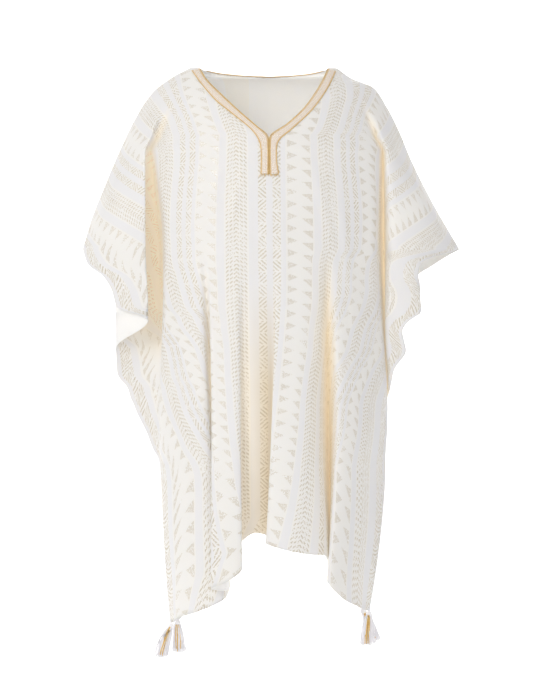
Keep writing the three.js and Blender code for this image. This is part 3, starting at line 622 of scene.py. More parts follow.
    def edge_place(self, depth: np.ndarray, table: Table, left: bool) -> np.ndarray:
        """How many folds in from the outer end the free side edge lies, at each depth.

        It is found at marked depths as the place on the curve whose x is nearest the edge's, and
        runs smoothly between them.

        Args:
            depth: The depths wanted.
            table: The edge's rows of depth, fold and x.
            left: Whether this is the left half.

        Returns:
            The place, counted in folds, at each depth.
        """
        marks = np.array(EDGE_MARKS, float)
        halves = self.sections(marks)
        half = halves[0] if left else halves[1][:, ::-1]
        fold = np.array([max(row[1] for row in table if row[0] <= mark) for mark in marks])
        places = fold[:, None] + np.linspace(0, 1, 41)
        miss = np.abs(curve_through(half, places)[..., 0] - x_at(table, marks)[:, None])
        found = places[np.arange(len(marks)), miss.argmin(axis=1)]
        skirt = np.arange(1, 9) / 8
        knots = np.concatenate([[TIP_DEPTH], marks, SKIRT_START + skirt * (LEVELS[-1] - SKIRT_START)])
        values = np.concatenate([[0.0], found, len(self.left_sleeve) - 0.65 + 0.65 * skirt**2])
        return along(knots, values, depth)

    def columns(self, half: np.ndarray) -> np.ndarray:
        """Places along a half's curve for the grid's columns, as many in each fold as its cloth needs."""
        level = half[:: max(1, len(half) // 24)]
        width = np.linalg.norm(np.diff(level, axis=1), axis=-1).max(axis=0)
        counts = np.clip(np.ceil(width / self.column_step), 4, 40).astype(int)
        pieces = [k + np.arange(n) / n for k, n in enumerate(counts)]
        return np.concatenate(pieces + [np.array([float(len(counts))])])

    def half_grid(
        self, half: np.ndarray, depth: np.ndarray, table: Table, left: bool
    ) -> tuple[np.ndarray, np.ndarray]:
        """Grid points of one half, with the sleeve's columns drawn in where its free edge draws in.

        Args:
            half: The half's fold points.
            depth: Each row's depth.
            table: The free side edge.
            left: Whether this is the left half.

        Returns:
            The points, and the painted warm shade and the painted glow at each, read off the named folds.
        """
        count = half.shape[1] - 1
        base = self.columns(half)[None, :]
        edge = self.edge_place(depth, table, left)[:, None]
        inner = len(self.left_sleeve) + 1.0
        if not left:
            base = count - base
        place = np.where(base < inner, edge + (inner - edge) * base / inner, base)
        names = ["sleeve"] * len(self.left_sleeve) + [fold.name for fold in self.body]
        names[len(self.left_sleeve) - 1] = "gapLeft"
        names += ["gapRight"] + ["sleeve"] * (len(self.right_sleeve) - 1)
        part = names[: self.middle + 1] if left else names[self.middle :][::-1]
        rows = np.array([HOLLOWS.get(name, OPEN_CLOTH) for name in part], float)
        painted_fold_shade, painted_glow, start, full, end = rows.T
        reach = np.clip((depth[:, None] - start) / (full - start), 0, 1)
        reach = reach * np.clip((end - depth[:, None]) / HOLLOW_FADE, 0, 1)
        folds = np.arange(count + 1)
        marks = [
            [np.interp(at, folds, row) for at, row in zip(place, share * reach)] for share in (painted_fold_shade, painted_glow)
        ]
        return curve_through(half, place if left else count - place), np.stack(marks, axis=-1)

    def rows(self) -> np.ndarray:
        """Depths of the grid's rows: close together at the shoulder, where the surface turns over."""
        top = np.linspace(4, 30, 14)
        neck = np.linspace(30, self.neck_depth, 1 + round(max(0.0, self.neck_depth - 30) / self.row_step))
        start = max(30.0, self.neck_depth)
        rest = np.linspace(start, LEVELS[-1], 1 + round((LEVELS[-1] - start) / self.row_step))
        return np.unique(np.concatenate([top, [self.neck_depth], neck, rest]).round(4))

    def cut_lines(self, grid: np.ndarray, fold: np.ndarray, depth: np.ndarray, sign: int) -> np.ndarray:
        """The flat cut's coordinates of a half's grid, outer end first.

        Each worn row is a bent line in the flat cut: level from the middle outwards, then square to
        the shoulder seam. Its outer end runs along the shoulder and down the side edge, its inner
        end along the neck edge and down the middle, each by its share of the worn length. A point
        near the middle keeps its own length; what is left over is taken up towards the side.

        Args:
            grid: The half's points, shaped (rows, columns, 3), outer end first.
            fold: How deep in a hollow each point lies.
            depth: Each row's depth.
            sign: -1 on the left half, 1 on the right.

        Returns:
            Across and down the cut in millimetres, shaped (rows, columns, 2).
        """
        def share(line: np.ndarray) -> np.ndarray:
            run = lengths(line[None])[0]
            return run / max(run[-1], 1e-6)

        above = depth <= TIP_DEPTH
        outer = np.zeros((len(depth), 2))
        outer[above, 0] = CUT_NECK + (CUT_HALF_WIDTH - CUT_NECK) * share(grid[above, 0])
        tip = np.flatnonzero(above)[-1]
        outer[tip:, 0] = CUT_HALF_WIDTH
        outer[tip:, 1] = CUT_LENGTH * share(grid[tip:, 0])
        open_rows = depth <= self.neck_depth + 1e-6
        inner = np.zeros((len(depth), 2))
        down = share(grid[open_rows, -1])
        inner[open_rows] = np.stack([CUT_NECK * (1 - down), self.cut_neck_drop * down], 1)
        last = np.flatnonzero(open_rows)[-1]
        inner[last:, 1] = self.cut_neck_drop + (CUT_LENGTH - self.cut_neck_drop) * share(grid[last:, -1])
        run = lengths(grid)
        inward = run[:, -1:] - run
        bend = np.stack([outer[:, 0] - 0.37 * (inner[:, 1] - outer[:, 1]), inner[:, 1]], 1)
        bend[:, 0] = np.maximum(bend[:, 0], 0.55 * outer[:, 0] + 0.45 * inner[:, 0])
        level = np.linalg.norm(bend - inner, axis=1)[:, None]
        fall = np.linalg.norm(outer - bend, axis=1)[:, None]
        spare = np.maximum(run[:, -1:] - level - fall, 0)
        steps = np.diff(inward[:, ::-1], axis=1)
        deep = steps * (fold[:, ::-1][:, 1:] + fold[:, ::-1][:, :-1]) / 2
        saved = np.minimum(spare / np.maximum(deep.sum(axis=1, keepdims=True), 1e-6), 0.8)
        kept = np.concatenate([np.zeros((len(depth), 1)), np.cumsum(steps - saved * deep, axis=1)], axis=1)
        inward = kept[:, ::-1]
        whole = np.maximum(inward[:, :1], 1e-6)
        ease = np.clip((inward / whole - 0.16) / 0.84, 0, 1) ** 1.25
        length = inward + (level + fall - whole) * ease
        soft = np.minimum(30.0, 0.25 * level + 1.0)
        late = soft * np.logaddexp(0, (length - level) / soft)
        late -= soft * np.logaddexp(0, -level / soft)
        end = soft * (np.logaddexp(0, fall / soft) - np.logaddexp(0, -level / soft))
        late *= fall / np.maximum(end, 1e-6)
        early = length - late
        along_level = (bend - inner)[:, None] * (early / np.maximum(level, 1e-6))[..., None]
        along_fall = (outer - bend)[:, None] * (late / np.maximum(fall, 1e-6))[..., None]
        cut = inner[:, None] + along_level + along_fall
        cut[..., 0] *= sign
        return cut

    def hem_corner(self, end: int) -> np.ndarray:
        """The hem's outer corner on the left (end 0) or right (end 1) of the panel."""
        depth = np.array([LEVELS[-1]])
        half = self.sections(depth)[end]
        inner = float(len(self.left_sleeve))
        place = inner if end == 0 else half.shape[1] - 1 - inner
        return curve_through(half, np.array([[place]]))[0, 0]

    def crease_relief(self, points: np.ndarray) -> np.ndarray:
        """Height of the listed creases at each point.

        Each crease is a ridge along a line seen from the front: its height falls off as a bell
        across the line and swells and dies along it.
        """
        height = np.zeros(len(points))
        x, depth = points[:, 0], -points[:, 2]
        for x0, d0, x1, d1, width, rise in self.creases:
            along_x, along_d = x1 - x0, d1 - d0
            size = np.hypot(along_x, along_d)
            t = ((x - x0) * along_x + (depth - d0) * along_d) / size**2
            off = ((x - x0) * along_d - (depth - d0) * along_x) / size
            swell = np.clip(1 - (2 * t - 1) ** 2, 0, 1)
            height += rise * np.exp(-((off / width) ** 2)) * swell
        return height

    def surface(self) -> Surface:
        """The panel's middle surface: a grid of the section curves, with creases and hem turn raised."""
        depth = self.rows()
        left, right = self.sections(depth)
        left_grid, left_marks = self.half_grid(left, depth, self.left_edge, True)
        right_grid, right_marks = self.half_grid(right, depth, self.right_edge, False)
        left_cut = self.cut_lines(left_grid, left_marks[..., 0], depth, -1)
        right_cut = self.cut_lines(right_grid[:, ::-1], right_marks[:, ::-1, 0], depth, 1)[:, ::-1]
        rows, wide = left_grid.shape[:2]
        left_index = np.arange(rows * wide).reshape(rows, wide)
        right_index = rows * wide + np.arange(rows * right_grid.shape[1]).reshape(rows, -1)
        shut = depth >= self.neck_depth - 1e-6
        right_index[shut, 0] = left_index[shut, -1]
        flip = self.facing is Facing.BACK
        faces = np.concatenate([grid_faces(left_index, flip), grid_faces(right_index, flip)])
        points = np.concatenate([left_grid.reshape(-1, 3), right_grid.reshape(-1, 3)])
        cut = np.concatenate([left_cut.reshape(-1, 2), right_cut.reshape(-1, 2)])
        marks = np.concatenate([left_marks.reshape(-1, 2), right_marks.reshape(-1, 2)])
        used, faces = np.unique(faces, return_inverse=True)
        points, cut, marks, faces = points[used], cut[used], marks[used], faces.reshape(-1, 4)
        normal = vertex_normals(points, faces)
        edge = np.minimum(CUT_LENGTH - cut[:, 1], CUT_HALF_WIDTH - np.abs(cut[:, 0]))
        turn = 0.35 * np.clip((self.hem_turn - edge) / 3, 0, 1)
        lift = self.crease_relief(points) + turn
        # the first value carries the painted warm shade of deep folds, the second their painted glow
        values = {"fold": marks[:, 0], "painted_glow": marks[:, 1]}
        return Surface(points + normal * lift[:, None], faces, cut, values)

    def build(self, finishes: "Finishes") -> bpy.types.Object:
        """Makes the panel with its wall and dresses both faces.

        Args:
            finishes: The finishes of the garment.

        Returns:
            The panel's object, riding on the root and standing for its solid.
        """
        surface = self.surface()
        piece = surface.make(f"{self.name}_cloth", [finishes.cloth, finishes.reverse])
        wall = piece.modifiers.new("wall", "SOLIDIFY")
        wall.thickness = self.wall * MM
        wall.offset = 0.0
        wall.material_offset = 1
        wall.material_offset_rim = 0
        return dress([piece], self.name)[0]

    def surface_at(self, x: np.ndarray, depth: np.ndarray) -> np.ndarray:
        """y of the panel's outermost layer at places seen from the front.

        Args:
            x: Places across.
            depth: Depths below the neck point, as many as x.

        Returns:
            y at each place: the curve point nearest in x, the outermost of near ones.
        """
        halves = self.sections(depth)
        curves = []
        for half in halves:
            place = np.linspace(0, half.shape[1] - 1, 900)
            curves.append(curve_through(half, np.broadcast_to(place, (len(depth), 900))))
        run = np.concatenate(curves, axis=1)
        miss = np.abs(run[..., 0] - x[:, None]) - 0.01 * self.facing.value * run[..., 1]
        best = miss.argmin(axis=1)
        return run[np.arange(len(depth)), best, 1]


@dataclass
class NeckBraid:
    """Braid sewn along one side of the V, with its end left hanging as a short tail."""

    name: str
    rows: Table
    panel: Panel
    stations: int = 420
    thickness: float = 1.7
    base: float = 1.0
    cord: float = 0.74

    def edges(self, share: np.ndarray) -> tuple[np.ndarray, np.ndarray]:
        """Outer and inner edge of the braid, as x and depth, at shares of its length."""
        rows = np.array(self.rows, float)
        flat = np.zeros((1, len(rows), 3))
        place = share[None] * (len(rows) - 1)
        lines = []
        for k in (0, 2):
            flat[0, :, :2] = rows[:, k : k + 2]
            lines.append(curve_through(flat, place)[0, :, :2])
        return lines[0], lines[1]

    def laid(self, share: np.ndarray, across: np.ndarray) -> tuple[np.ndarray, np.ndarray]:
        """Points on the panel under the braid, and the panel's outward direction there.

        Args:
            share: Shares of the braid's length.
            across: Shares of its width, from the inner to the outer edge.

        Returns:
            Points and unit normals, shaped (shares, across, 3).
        """
        outer, inner = self.edges(share)
        spot = inner[:, None] + (outer - inner)[:, None] * across[None, :, None]
        flat = spot.reshape(-1, 2)
        y = self.panel.surface_at(flat[:, 0], flat[:, 1]).reshape(spot.shape[:2])
        points = np.stack([spot[..., 0], smoothed(y, 8, mode="edge"), -spot[..., 1]], axis=-1)
        ahead = np.gradient(points, axis=0)
        over = np.gradient(points, axis=1)
        normal = np.cross(ahead, over)
        normal *= np.sign(normal[..., 1:2]) * self.panel.facing.value
        return points, normal / np.linalg.norm(normal, axis=-1, keepdims=True)

    def strip(self) -> Surface:
        """The woven band, from the inner to the outer edge, closed at both ends."""
        across = np.linspace(0.05, 0.95, 17)
        points, normal = self.laid(np.linspace(0, 1, self.stations), across)
        edge, crown = self.base + 0.45 * self.thickness, 0.55 * self.thickness
        return plaited_band(points, normal, across, (self.base, edge, crown), 0.93, True)

    def cords(self) -> Surface:
        """Twisted metallic cords: one along the outer edge, two side by side along the inner edge."""
        share = np.linspace(0, 1, self.stations)
        points, normal = self.laid(share, np.array([-0.03, 0.1, 0.98]))
        paths = points + normal * (self.base + np.array([0.7, 1.5, 0.8]))[None, :, None]
        paths = paths.transpose(1, 0, 2)
        radius = np.broadcast_to(np.array([0.8, 0.75, 1.0])[:, None] * self.cord, paths.shape[:2])
        return tubes(paths, radius, 7, 0.16)

    def fray(self, seed: int) -> Surface:
        """Loose thread ends under the tail: short tubes that leave its end and part."""
        rng = np.random.default_rng(seed)
        count = 16
        points, normal = self.laid(np.array([0.985, 0.993, 1.0]), np.linspace(0.04, 0.96, count))
        root = points[-1] + normal[-1] * (self.base + 0.9)
        drop = rng.uniform(2.0, 6.5, count)
        lean = rng.normal(0, 0.35, count)
        t = np.linspace(0, 1, 5)[None, :, None]
        way = np.stack([lean * drop, -0.15 * drop, -drop], axis=1)[:, None]
        paths = root[:, None] + way * t + np.array([0, 0, 1.0]) * 1.0
        radius = np.broadcast_to(np.array([0.34, 0.34, 0.3, 0.26, 0.12]), (count, 5))
        return tubes(paths, radius, 4)

    def build(self, finishes: "Finishes") -> list[bpy.types.Object]:
        """Makes the band, its cords and its frayed end, and dresses them."""
        band = self.strip().make(f"{self.name}_band", [finishes.braid])
        cords = self.cords().make(f"{self.name}_cords", [finishes.gold])
        fray = self.fray(len(self.name)).make(f"{self.name}_fray", [finishes.gold])
        return dress([band, cords, fray], self.name)


@dataclass
class BackNeckBraid:
    """Braid along the back of the neck, laid on the back panel just below its neck edge."""

    name: str
    panel: Panel
    stations: int = 260
    width: float = 12.5
    span: float = 0.47

    def frame(self, across: np.ndarray) -> tuple[np.ndarray, np.ndarray]:
        """Points on the back panel under the braid, and the outward direction there."""
        side = np.linspace(-1, 1, self.stations)
        depth = self.panel.neck_depth - (self.panel.neck_depth - 8.7) * np.abs(side) ** 2.2
        left, right = x_at(self.panel.left_neck, depth), x_at(self.panel.right_neck, depth)
        x = np.where(side < 0, left, right)
        y = along(self.panel.reach_marks, self.panel.reaches, depth)
        neck = np.stack([x, y, -depth], axis=1)
        neck = smoothed(neck, 12, mode="reflect", reflect_type="odd")
        ahead = np.gradient(neck, axis=0)
        ahead /= np.linalg.norm(ahead, axis=1, keepdims=True)
        out = np.stack([-ahead[:, 1], ahead[:, 0], np.zeros(self.stations)], 1)
        out /= np.linalg.norm(out, axis=1, keepdims=True)
        down = out + np.array([0, 0, -self.span])
        down /= np.linalg.norm(down, axis=1, keepdims=True)
        normal = np.cross(down, ahead)
        normal *= np.sign(normal[:, 2:3])
        points = neck[:, None] + down[:, None] * (across * self.width)[None, :, None]
        return points, np.broadcast_to(normal[:, None], points.shape)

    def build(self, finishes: "Finishes") -> list[bpy.types.Object]:
        """Makes the band and its cords and dresses them."""
        across = np.linspace(0.02, 1, 13)
        points, normal = self.frame(across)
        strip = plaited_band(points, normal, across, (1.7, 2.5, 1.0), 1.0, False)
        band = strip.make(f"{self.name}_band", [finishes.braid])
        lines, lift = self.frame(np.array([0.0, 0.13, 0.98]))
        paths = (lines + lift * np.array([2.4, 3.3, 2.5])[None, :, None]).transpose(1, 0, 2)
        radius = np.broadcast_to(np.array([0.6, 0.56, 0.74])[:, None], paths.shape[:2])
        cords = tubes(paths, radius, 7, 0.16).make(f"{self.name}_cords", [finishes.gold])
        return dress([band, cords], self.name)


@dataclass
class Tassel:
    """Corner tassel: a bound head under a hem corner, and yarn that falls from it and parts."""

    name: str
    corner: np.ndarray
    fall: tuple[float, float]
    spread: float
    seed: int
    length: float = 66.0
    root: float = -9.5
    strands: int = 130
    gold_strands: int = 5
    radius: float = 0.75
    gold_radius: float = 1.15

    def yarn(self, count: int, seed: int, radius: float, lanes: np.ndarray | None = None) -> Surface:
        """Strands that leave the head, swell outward as the power 0.75 of their fall, and wander a little.

        Args:
            count: How many strands.
            seed: Starts the seeded spread.
            radius: Strand radius in millimetres.
            lanes: Directions and reaches of the strands, or None for an even round spread.

        Returns:
            The strands as closed tubes.
        """
        rng = np.random.default_rng(seed)
        k = np.arange(count)
        angle = k * 2.39996 + rng.normal(0, 0.25, count)
        reach = np.sqrt((k + 0.5) / count) * rng.uniform(0.86, 1.02, count)
        if lanes is not None:
            angle, reach = lanes[:count, 0], lanes[:count, 1]
        t = np.linspace(0, 1, 9)[None, :]
        way = np.stack([np.cos(angle), np.sin(angle)], axis=1)
        drop = self.length - 5 * reach**2 - rng.uniform(0, 5, count)
        out = t**0.75
        sway = rng.normal(0, 0.9, (count, 2, 1))
        wander = sway * np.sin(np.pi * t * rng.uniform(0.8, 1.7, (count, 1)))[:, None]
        start = 4.3 * reach[:, None] * way
        end = np.array(self.fall)[None] + self.spread * reach[:, None] * way * np.array([1.0, 0.7])
        x = start[:, :1] + (end - start)[:, :1] * out + wander[:, 0]
        y = start[:, 1:] + (end - start)[:, 1:] * out + wander[:, 1]
        z = self.root + (-drop[:, None] - self.root) * t
        paths = np.stack([x, y, z], axis=-1) + self.corner
        wide = radius * (1 - 0.45 * t**3) * np.ones((count, 1))
        return tubes(paths, wide, 4)

    def head(self) -> Surface:
        """The head: a profile of neck, binding and skirt turned about the fall line, ridged by its thread."""
        z = -np.linspace(0, 14, 57)
        wide = along((0, 0.6, 2, 4, 5.6, 8, 12, 14), (0.4, 1.7, 2.8, 2.3, 3.7, 5.0, 5.5, 4.6), -z)
        wide = wide + 0.2 * np.cos(2 * np.pi * z / 0.9) * ((-z > 2.6) & (-z < 6.2))
        path = np.stack([np.zeros_like(z), np.zeros_like(z), z], axis=1)[None] + self.corner
        return tubes(path, wide[None], 18)

    def build(self, finishes: "Finishes") -> list[bpy.types.Object]:
        """Makes the head, the white yarn and the metallic strands, and dresses them."""
        rng = np.random.default_rng(self.seed + 5)
        lanes = np.stack([rng.uniform(-2.0, -1.3, 64), rng.uniform(0.75, 1.04, 64)], axis=1)
        white = joined([self.head(), self.yarn(self.strands, self.seed, self.radius)])
        main = white.make(f"{self.name}_yarn", [finishes.yarn])
        metallic = self.yarn(self.gold_strands, self.seed + 1, self.gold_radius, lanes)
        gold = metallic.make(f"{self.name}_gold", [finishes.gold])
        return dress([main, gold], self.name)


MATH = "ShaderNodeMath"
MIX = "ShaderNodeMix"


def linear(code: str) -> tuple[float, float, float, float]:
    """Linear colour of an sRGB hex code."""
    parts = np.array([int(code[k : k + 2], 16) / 255 for k in (1, 3, 5)])
    flat = np.where(parts <= 0.04045, parts / 12.92, ((parts + 0.055) / 1.055) ** 2.4)
    return (*flat.tolist(), 1.0)


def fill(tree: bpy.types.NodeTree, node: bpy.types.Node, inputs: dict | Sequence) -> None:
    """Sets a node's inputs to values, or links them to sockets, by input name or number, or in order."""
    pairs = inputs.items() if isinstance(inputs, dict) else enumerate(inputs)
    for key, value in pairs:
        if isinstance(value, bpy.types.NodeSocket):
            tree.links.new(value, node.inputs[key])
        else:
            node.inputs[key].default_value = value


def add_node(
    tree: bpy.types.NodeTree, kind: str, inputs: dict | Sequence = (), **settings: object
) -> bpy.types.Node:
    """Adds a node with its settings, and sets or links its inputs.

    Args:
        tree: The node tree.
        kind: The node's type.
        inputs: Values or sockets, by input name or number, or in order.
        settings: Properties of the node.

    Returns:
        The new node.
    """
    node = tree.nodes.new(kind)
    for key, value in settings.items():
        setattr(node, key, value)
    fill(tree, node, inputs)
    return node


def new_material(name: str) -> tuple[bpy.types.Material, bpy.types.NodeTree, bpy.types.Node]:
    """A new material with its node tree and its main shader."""
    made = bpy.data.materials.new(name)
    made.use_nodes = True
    return made, made.node_tree, made.node_tree.nodes["Principled BSDF"]


def cut_place(tree: bpy.types.NodeTree) -> tuple[bpy.types.NodeSocket, dict]:
    """The flat cut's coordinates: as one socket, and as metres across and down by name."""
    uv = add_node(tree, "ShaderNodeUVMap", uv_map="cut").outputs[0]
    split = add_node(tree, "ShaderNodeSeparateXYZ", [uv])
    return uv, {"across": split.outputs[0], "down": split.outputs[1]}


def work_out(tree: bpy.types.NodeTree, known: dict, steps: Sequence[tuple]) -> dict:
    """Adds one calculating node per step and keeps its result by name.

    Args:
        tree: The node tree.
        known: Sockets by name, added to in place.
        steps: Rows of result name, operation and operands, each operand a name or a number.

    Returns:
        The same dictionary.
    """
    for name, operation, *operands in steps:
        values = [known[part] if isinstance(part, str) else part for part in operands]
        known[name] = add_node(tree, MATH, values, operation=operation).outputs[0]
    return known


def blend(tree: bpy.types.NodeTree, share: object, low: object, high: object) -> bpy.types.NodeSocket:
    """Colour between low and high by share."""
    node = add_node(tree, MIX, {0: share, 6: low, 7: high}, data_type="RGBA")
    return node.outputs[2]


# Across the cut: a stripe repeat of 172 mm. Down the cut: motifs 21 and 7 mm apart.
# place = position in the repeat; each motif is 1 inside its metallic threads and 0 outside.
STRIPE_STEPS = (
    ("u", "MULTIPLY", "across", 1000.0),
    ("v", "MULTIPLY", "down", 1000.0),
    ("wobbleu", "MULTIPLY_ADD", "noise", 1.8, -0.9),
    ("wobblev", "MULTIPLY_ADD", "noise2", 1.8, -0.9),
    ("uu", "ADD", "u", "wobbleu"),
    ("vv", "ADD", "v", "wobblev"),
    ("u79", "ADD", "uu", 79.0),
    ("place", "WRAP", "u79", REPEAT, 0.0),
    # triangles, left column: point to the right
    ("ta", "SUBTRACT", "place", 110.0),
    ("tin", "GREATER_THAN", "ta", 0.0),
    ("tfall", "MULTIPLY_ADD", "ta", -0.38, 6.6),
    ("tv", "WRAP", "vv", 21.0, 0.0),
    ("tmid", "SUBTRACT", "tv", 10.5),
    ("tabs", "ABSOLUTE", "tmid"),
    ("tleft0", "LESS_THAN", "tabs", "tfall"),
    ("tleft", "MULTIPLY", "tleft0", "tin"),
    # triangles, right column: point to the left, flat top
    ("tb", "SUBTRACT", "place", 135.0),
    ("tbend", "LESS_THAN", "tb", 19.5),
    ("trise", "MULTIPLY_ADD", "tb", 0.72, 0.0),
    ("tvr0", "ADD", "vv", 6.5),
    ("tvr", "WRAP", "tvr0", 21.0, 0.0),
    ("tright0", "LESS_THAN", "tvr", "trise"),
    ("tright", "MULTIPLY", "tright0", "tbend"),
    ("triangles", "MAXIMUM", "tleft", "tright"),
    # hatched zigzags in two bands, turned over every 21 mm
    ("g", "WRAP", "vv", 42.0, 0.0),
    ("gmid", "SUBTRACT", "g", 21.0),
    ("gsign", "SIGN", "gmid"),
    ("slant", "MULTIPLY", "gsign", 0.85),
    ("phase", "MULTIPLY_ADD", "slant", "place", "vv"),
    ("line0", "WRAP", "phase", 7.2, 0.0),
    ("line", "LESS_THAN", "line0", 3.3),
    ("gate0", "WRAP", "vv", 21.0, 0.0),
    ("gate", "GREATER_THAN", "gate0", 2.2),
    ("hatch0", "MULTIPLY", "line", "gate"),
    ("d1mid", "SUBTRACT", "place", 66.5),
    ("d1abs", "ABSOLUTE", "d1mid"),
    ("d1", "LESS_THAN", "d1abs", 7.0),
    ("d2mid", "SUBTRACT", "place", 91.5),
    ("d2abs", "ABSOLUTE", "d2mid"),
    ("d2", "LESS_THAN", "d2abs", 7.0),
    ("dband", "MAXIMUM", "d1", "d2"),
    ("hatch", "MULTIPLY", "hatch0", "dband"),
    # herringbone: chevrons 7 mm apart, broken into slanted dashes by gaps every 6.8 mm
    ("hmid", "SUBTRACT", "place", 21.5),
    ("habs", "ABSOLUTE", "hmid"),
    ("hcol0", "DIVIDE", "habs", 6.8),
    ("hcol", "FLOOR", "hcol0"),
    ("hlean", "MULTIPLY_ADD", "habs", -0.8, "vv"),
    ("hstep", "MULTIPLY_ADD", "hcol", 3.5, "hlean"),
    ("hline0", "WRAP", "hstep", 7.0, 0.0),
    ("hline", "LESS_THAN", "hline0", 3.1),
    ("hgap0", "FRACT", "hcol0"),
    ("hgap", "LESS_THAN", "hgap0", 0.72),
    ("hin", "LESS_THAN", "habs", 20.4),
    ("hdash", "MULTIPLY", "hline", "hgap"),
    ("chevrons", "MULTIPLY", "hdash", "hin"),
    ("motif0", "MAXIMUM", "triangles", "hatch"),
    ("motif", "MAXIMUM", "motif0", "chevrons"),
    # bands of creamier ground under the motifs
    ("hband0", "SUBTRACT", "place", 21.0),
    ("hband1", "ABSOLUTE", "hband0"),
    ("hband", "LESS_THAN", "hband1", 22.0),
    ("tband0", "SUBTRACT", "place", 132.0),
    ("tband1", "ABSOLUTE", "tband0"),
    ("tband", "LESS_THAN", "tband1", 25.0),
    ("band0", "MAXIMUM", "hband", "tband"),
    ("band", "MAXIMUM", "band0", "dband"),
    # hem: a turned edge with one row of stitches
    ("absu", "ABSOLUTE", "u"),
    ("eside", "SUBTRACT", CUT_HALF_WIDTH, "absu"),
    ("ehem", "SUBTRACT", CUT_LENGTH, "v"),
    ("edge", "MINIMUM", "eside", "ehem"),
    ("seam0", "SUBTRACT", "edge", 7.4),
    ("seam1", "ABSOLUTE", "seam0"),
    ("seam2", "LESS_THAN", "seam1", 0.45),
    ("run", "ADD", "u", "v"),
    ("run1", "WRAP", "run", 3.4, 0.0),
    ("run2", "LESS_THAN", "run1", 2.4),
    ("stitch", "MULTIPLY", "seam2", "run2"),
    # weave: weft ribs 1.6 mm apart, drawn coarser than the cloth's 0.4 mm so that they show
    ("weft0", "MULTIPLY", "v", 3.927),
    ("weft", "SINE", "weft0"),
    ("warp0", "MULTIPLY", "u", 5.236),
    ("warp", "SINE", "warp0"),
    ("weave0", "MULTIPLY_ADD", "warp", 0.35, "weft"),
    ("weave", "MULTIPLY_ADD", "weave0", 0.12, 0.0),
    ("raised", "MULTIPLY_ADD", "motif", 0.5, "weave"),
    ("height", "MULTIPLY_ADD", "stitch", 0.5, "raised"),
)


@dataclass(frozen=True)
class PatternedCloth:
    """Woven viscose with a metallic pattern weft: matte satin ground, bright flat threads in motifs."""

    plain: str = "#f1f0f1"
    ground: str = "#f6f4f1"
    thread: str = "#cdc2ad"
    glint: str = "#ffffff"
    # fold: the colour of the painted warm shade in deep folds
    fold: str = "#ead9b8"

    def material(self) -> bpy.types.Material:
        """The face of the cloth, drawn on the flat cut's coordinates so that it follows every fold."""
        made, tree, shader = new_material("woven_viscose_with_metallic_weft")
        uv, known = cut_place(tree)
        soft = add_node(tree, "ShaderNodeTexNoise", {"Vector": uv, "Scale": 420.0, "Detail": 1.0})
        spark = add_node(tree, "ShaderNodeTexNoise", {"Vector": uv, "Scale": 520.0, "Detail": 1.0})
        patch = add_node(tree, "ShaderNodeTexNoise", {"Vector": uv, "Scale": 11.0, "Detail": 2.0})
        tint = add_node(tree, "ShaderNodeSeparateColor", [soft.outputs["Color"]])
        known |= {
            "noise": tint.outputs[0],
            "noise2": tint.outputs[1],
            "spark": spark.outputs[0],
            "patch": patch.outputs[0],
            "fold": add_node(tree, "ShaderNodeAttribute", attribute_name="fold").outputs["Fac"],
            "painted_glow": add_node(tree, "ShaderNodeAttribute", attribute_name="painted_glow").outputs["Fac"],
        }
        work_out(tree, known, STRIPE_STEPS)
        work_out(tree, known, (
            # painted glints: white painted on the motifs in uneven patches, standing in for threads that face
            # the light
            ("spark1", "MULTIPLY_ADD", "patch", 0.35, "spark"),
            ("spark2", "GREATER_THAN", "spark1", 0.76),
            ("glint", "MULTIPLY", "spark2", "motif"),
            # a dash shows its thread more than a whole triangle does
            ("cover0", "MULTIPLY_ADD", "noise", 0.35, 0.5),
            ("share", "MULTIPLY_ADD", "triangles", -0.38, 1.0),
            ("cover", "MULTIPLY", "cover0", "share"),
            ("dye", "MULTIPLY", "motif", "cover"),
            # painted warm shade share of deep folds, then the threads' metal and roughness
            ("painted_warm_shade", "MULTIPLY", "fold", 0.95),
            ("metal", "MULTIPLY", "motif", 0.2),
            ("rough", "MULTIPLY_ADD", "motif", -0.26, 0.72),
        ))
        base = blend(tree, known["band"], linear(self.plain), linear(self.ground))
        dyed = blend(tree, known["dye"], base, linear(self.thread))
        lit = blend(tree, known["glint"], dyed, linear(self.glint))
        # painted warm shade: deep folds multiply the colour towards the fold colour
        shade = blend(tree, known["painted_warm_shade"], linear("#ffffff"), linear(self.fold))
        worn = add_node(tree, MIX, {0: 1.0, 6: lit, 7: shade}, data_type="RGBA", blend_type="MULTIPLY")
        relief = {"Height": known["height"], "Strength": 0.55, "Distance": 0.0006}
        fill(tree, shader, {
            "Base Color": worn.outputs[2],
            "Roughness": known["rough"],
            "Metallic": known["metal"],
            "Normal": add_node(tree, "ShaderNodeBump", relief).outputs[0],
            # painted glow: emission in deep folds stands in for light that comes through the thin cloth's
            # layers, warmed by the metallic threads
            "Emission Strength": known["painted_glow"],
            "Emission Color": linear("#efe5d0"),
            "Subsurface Weight": 0.3,
            "Subsurface Radius": (1.0, 0.92, 0.78),
            "Subsurface Scale": 0.0015,
            "Sheen Weight": 0.12,
            "Sheen Roughness": 0.45,
        })
        return made


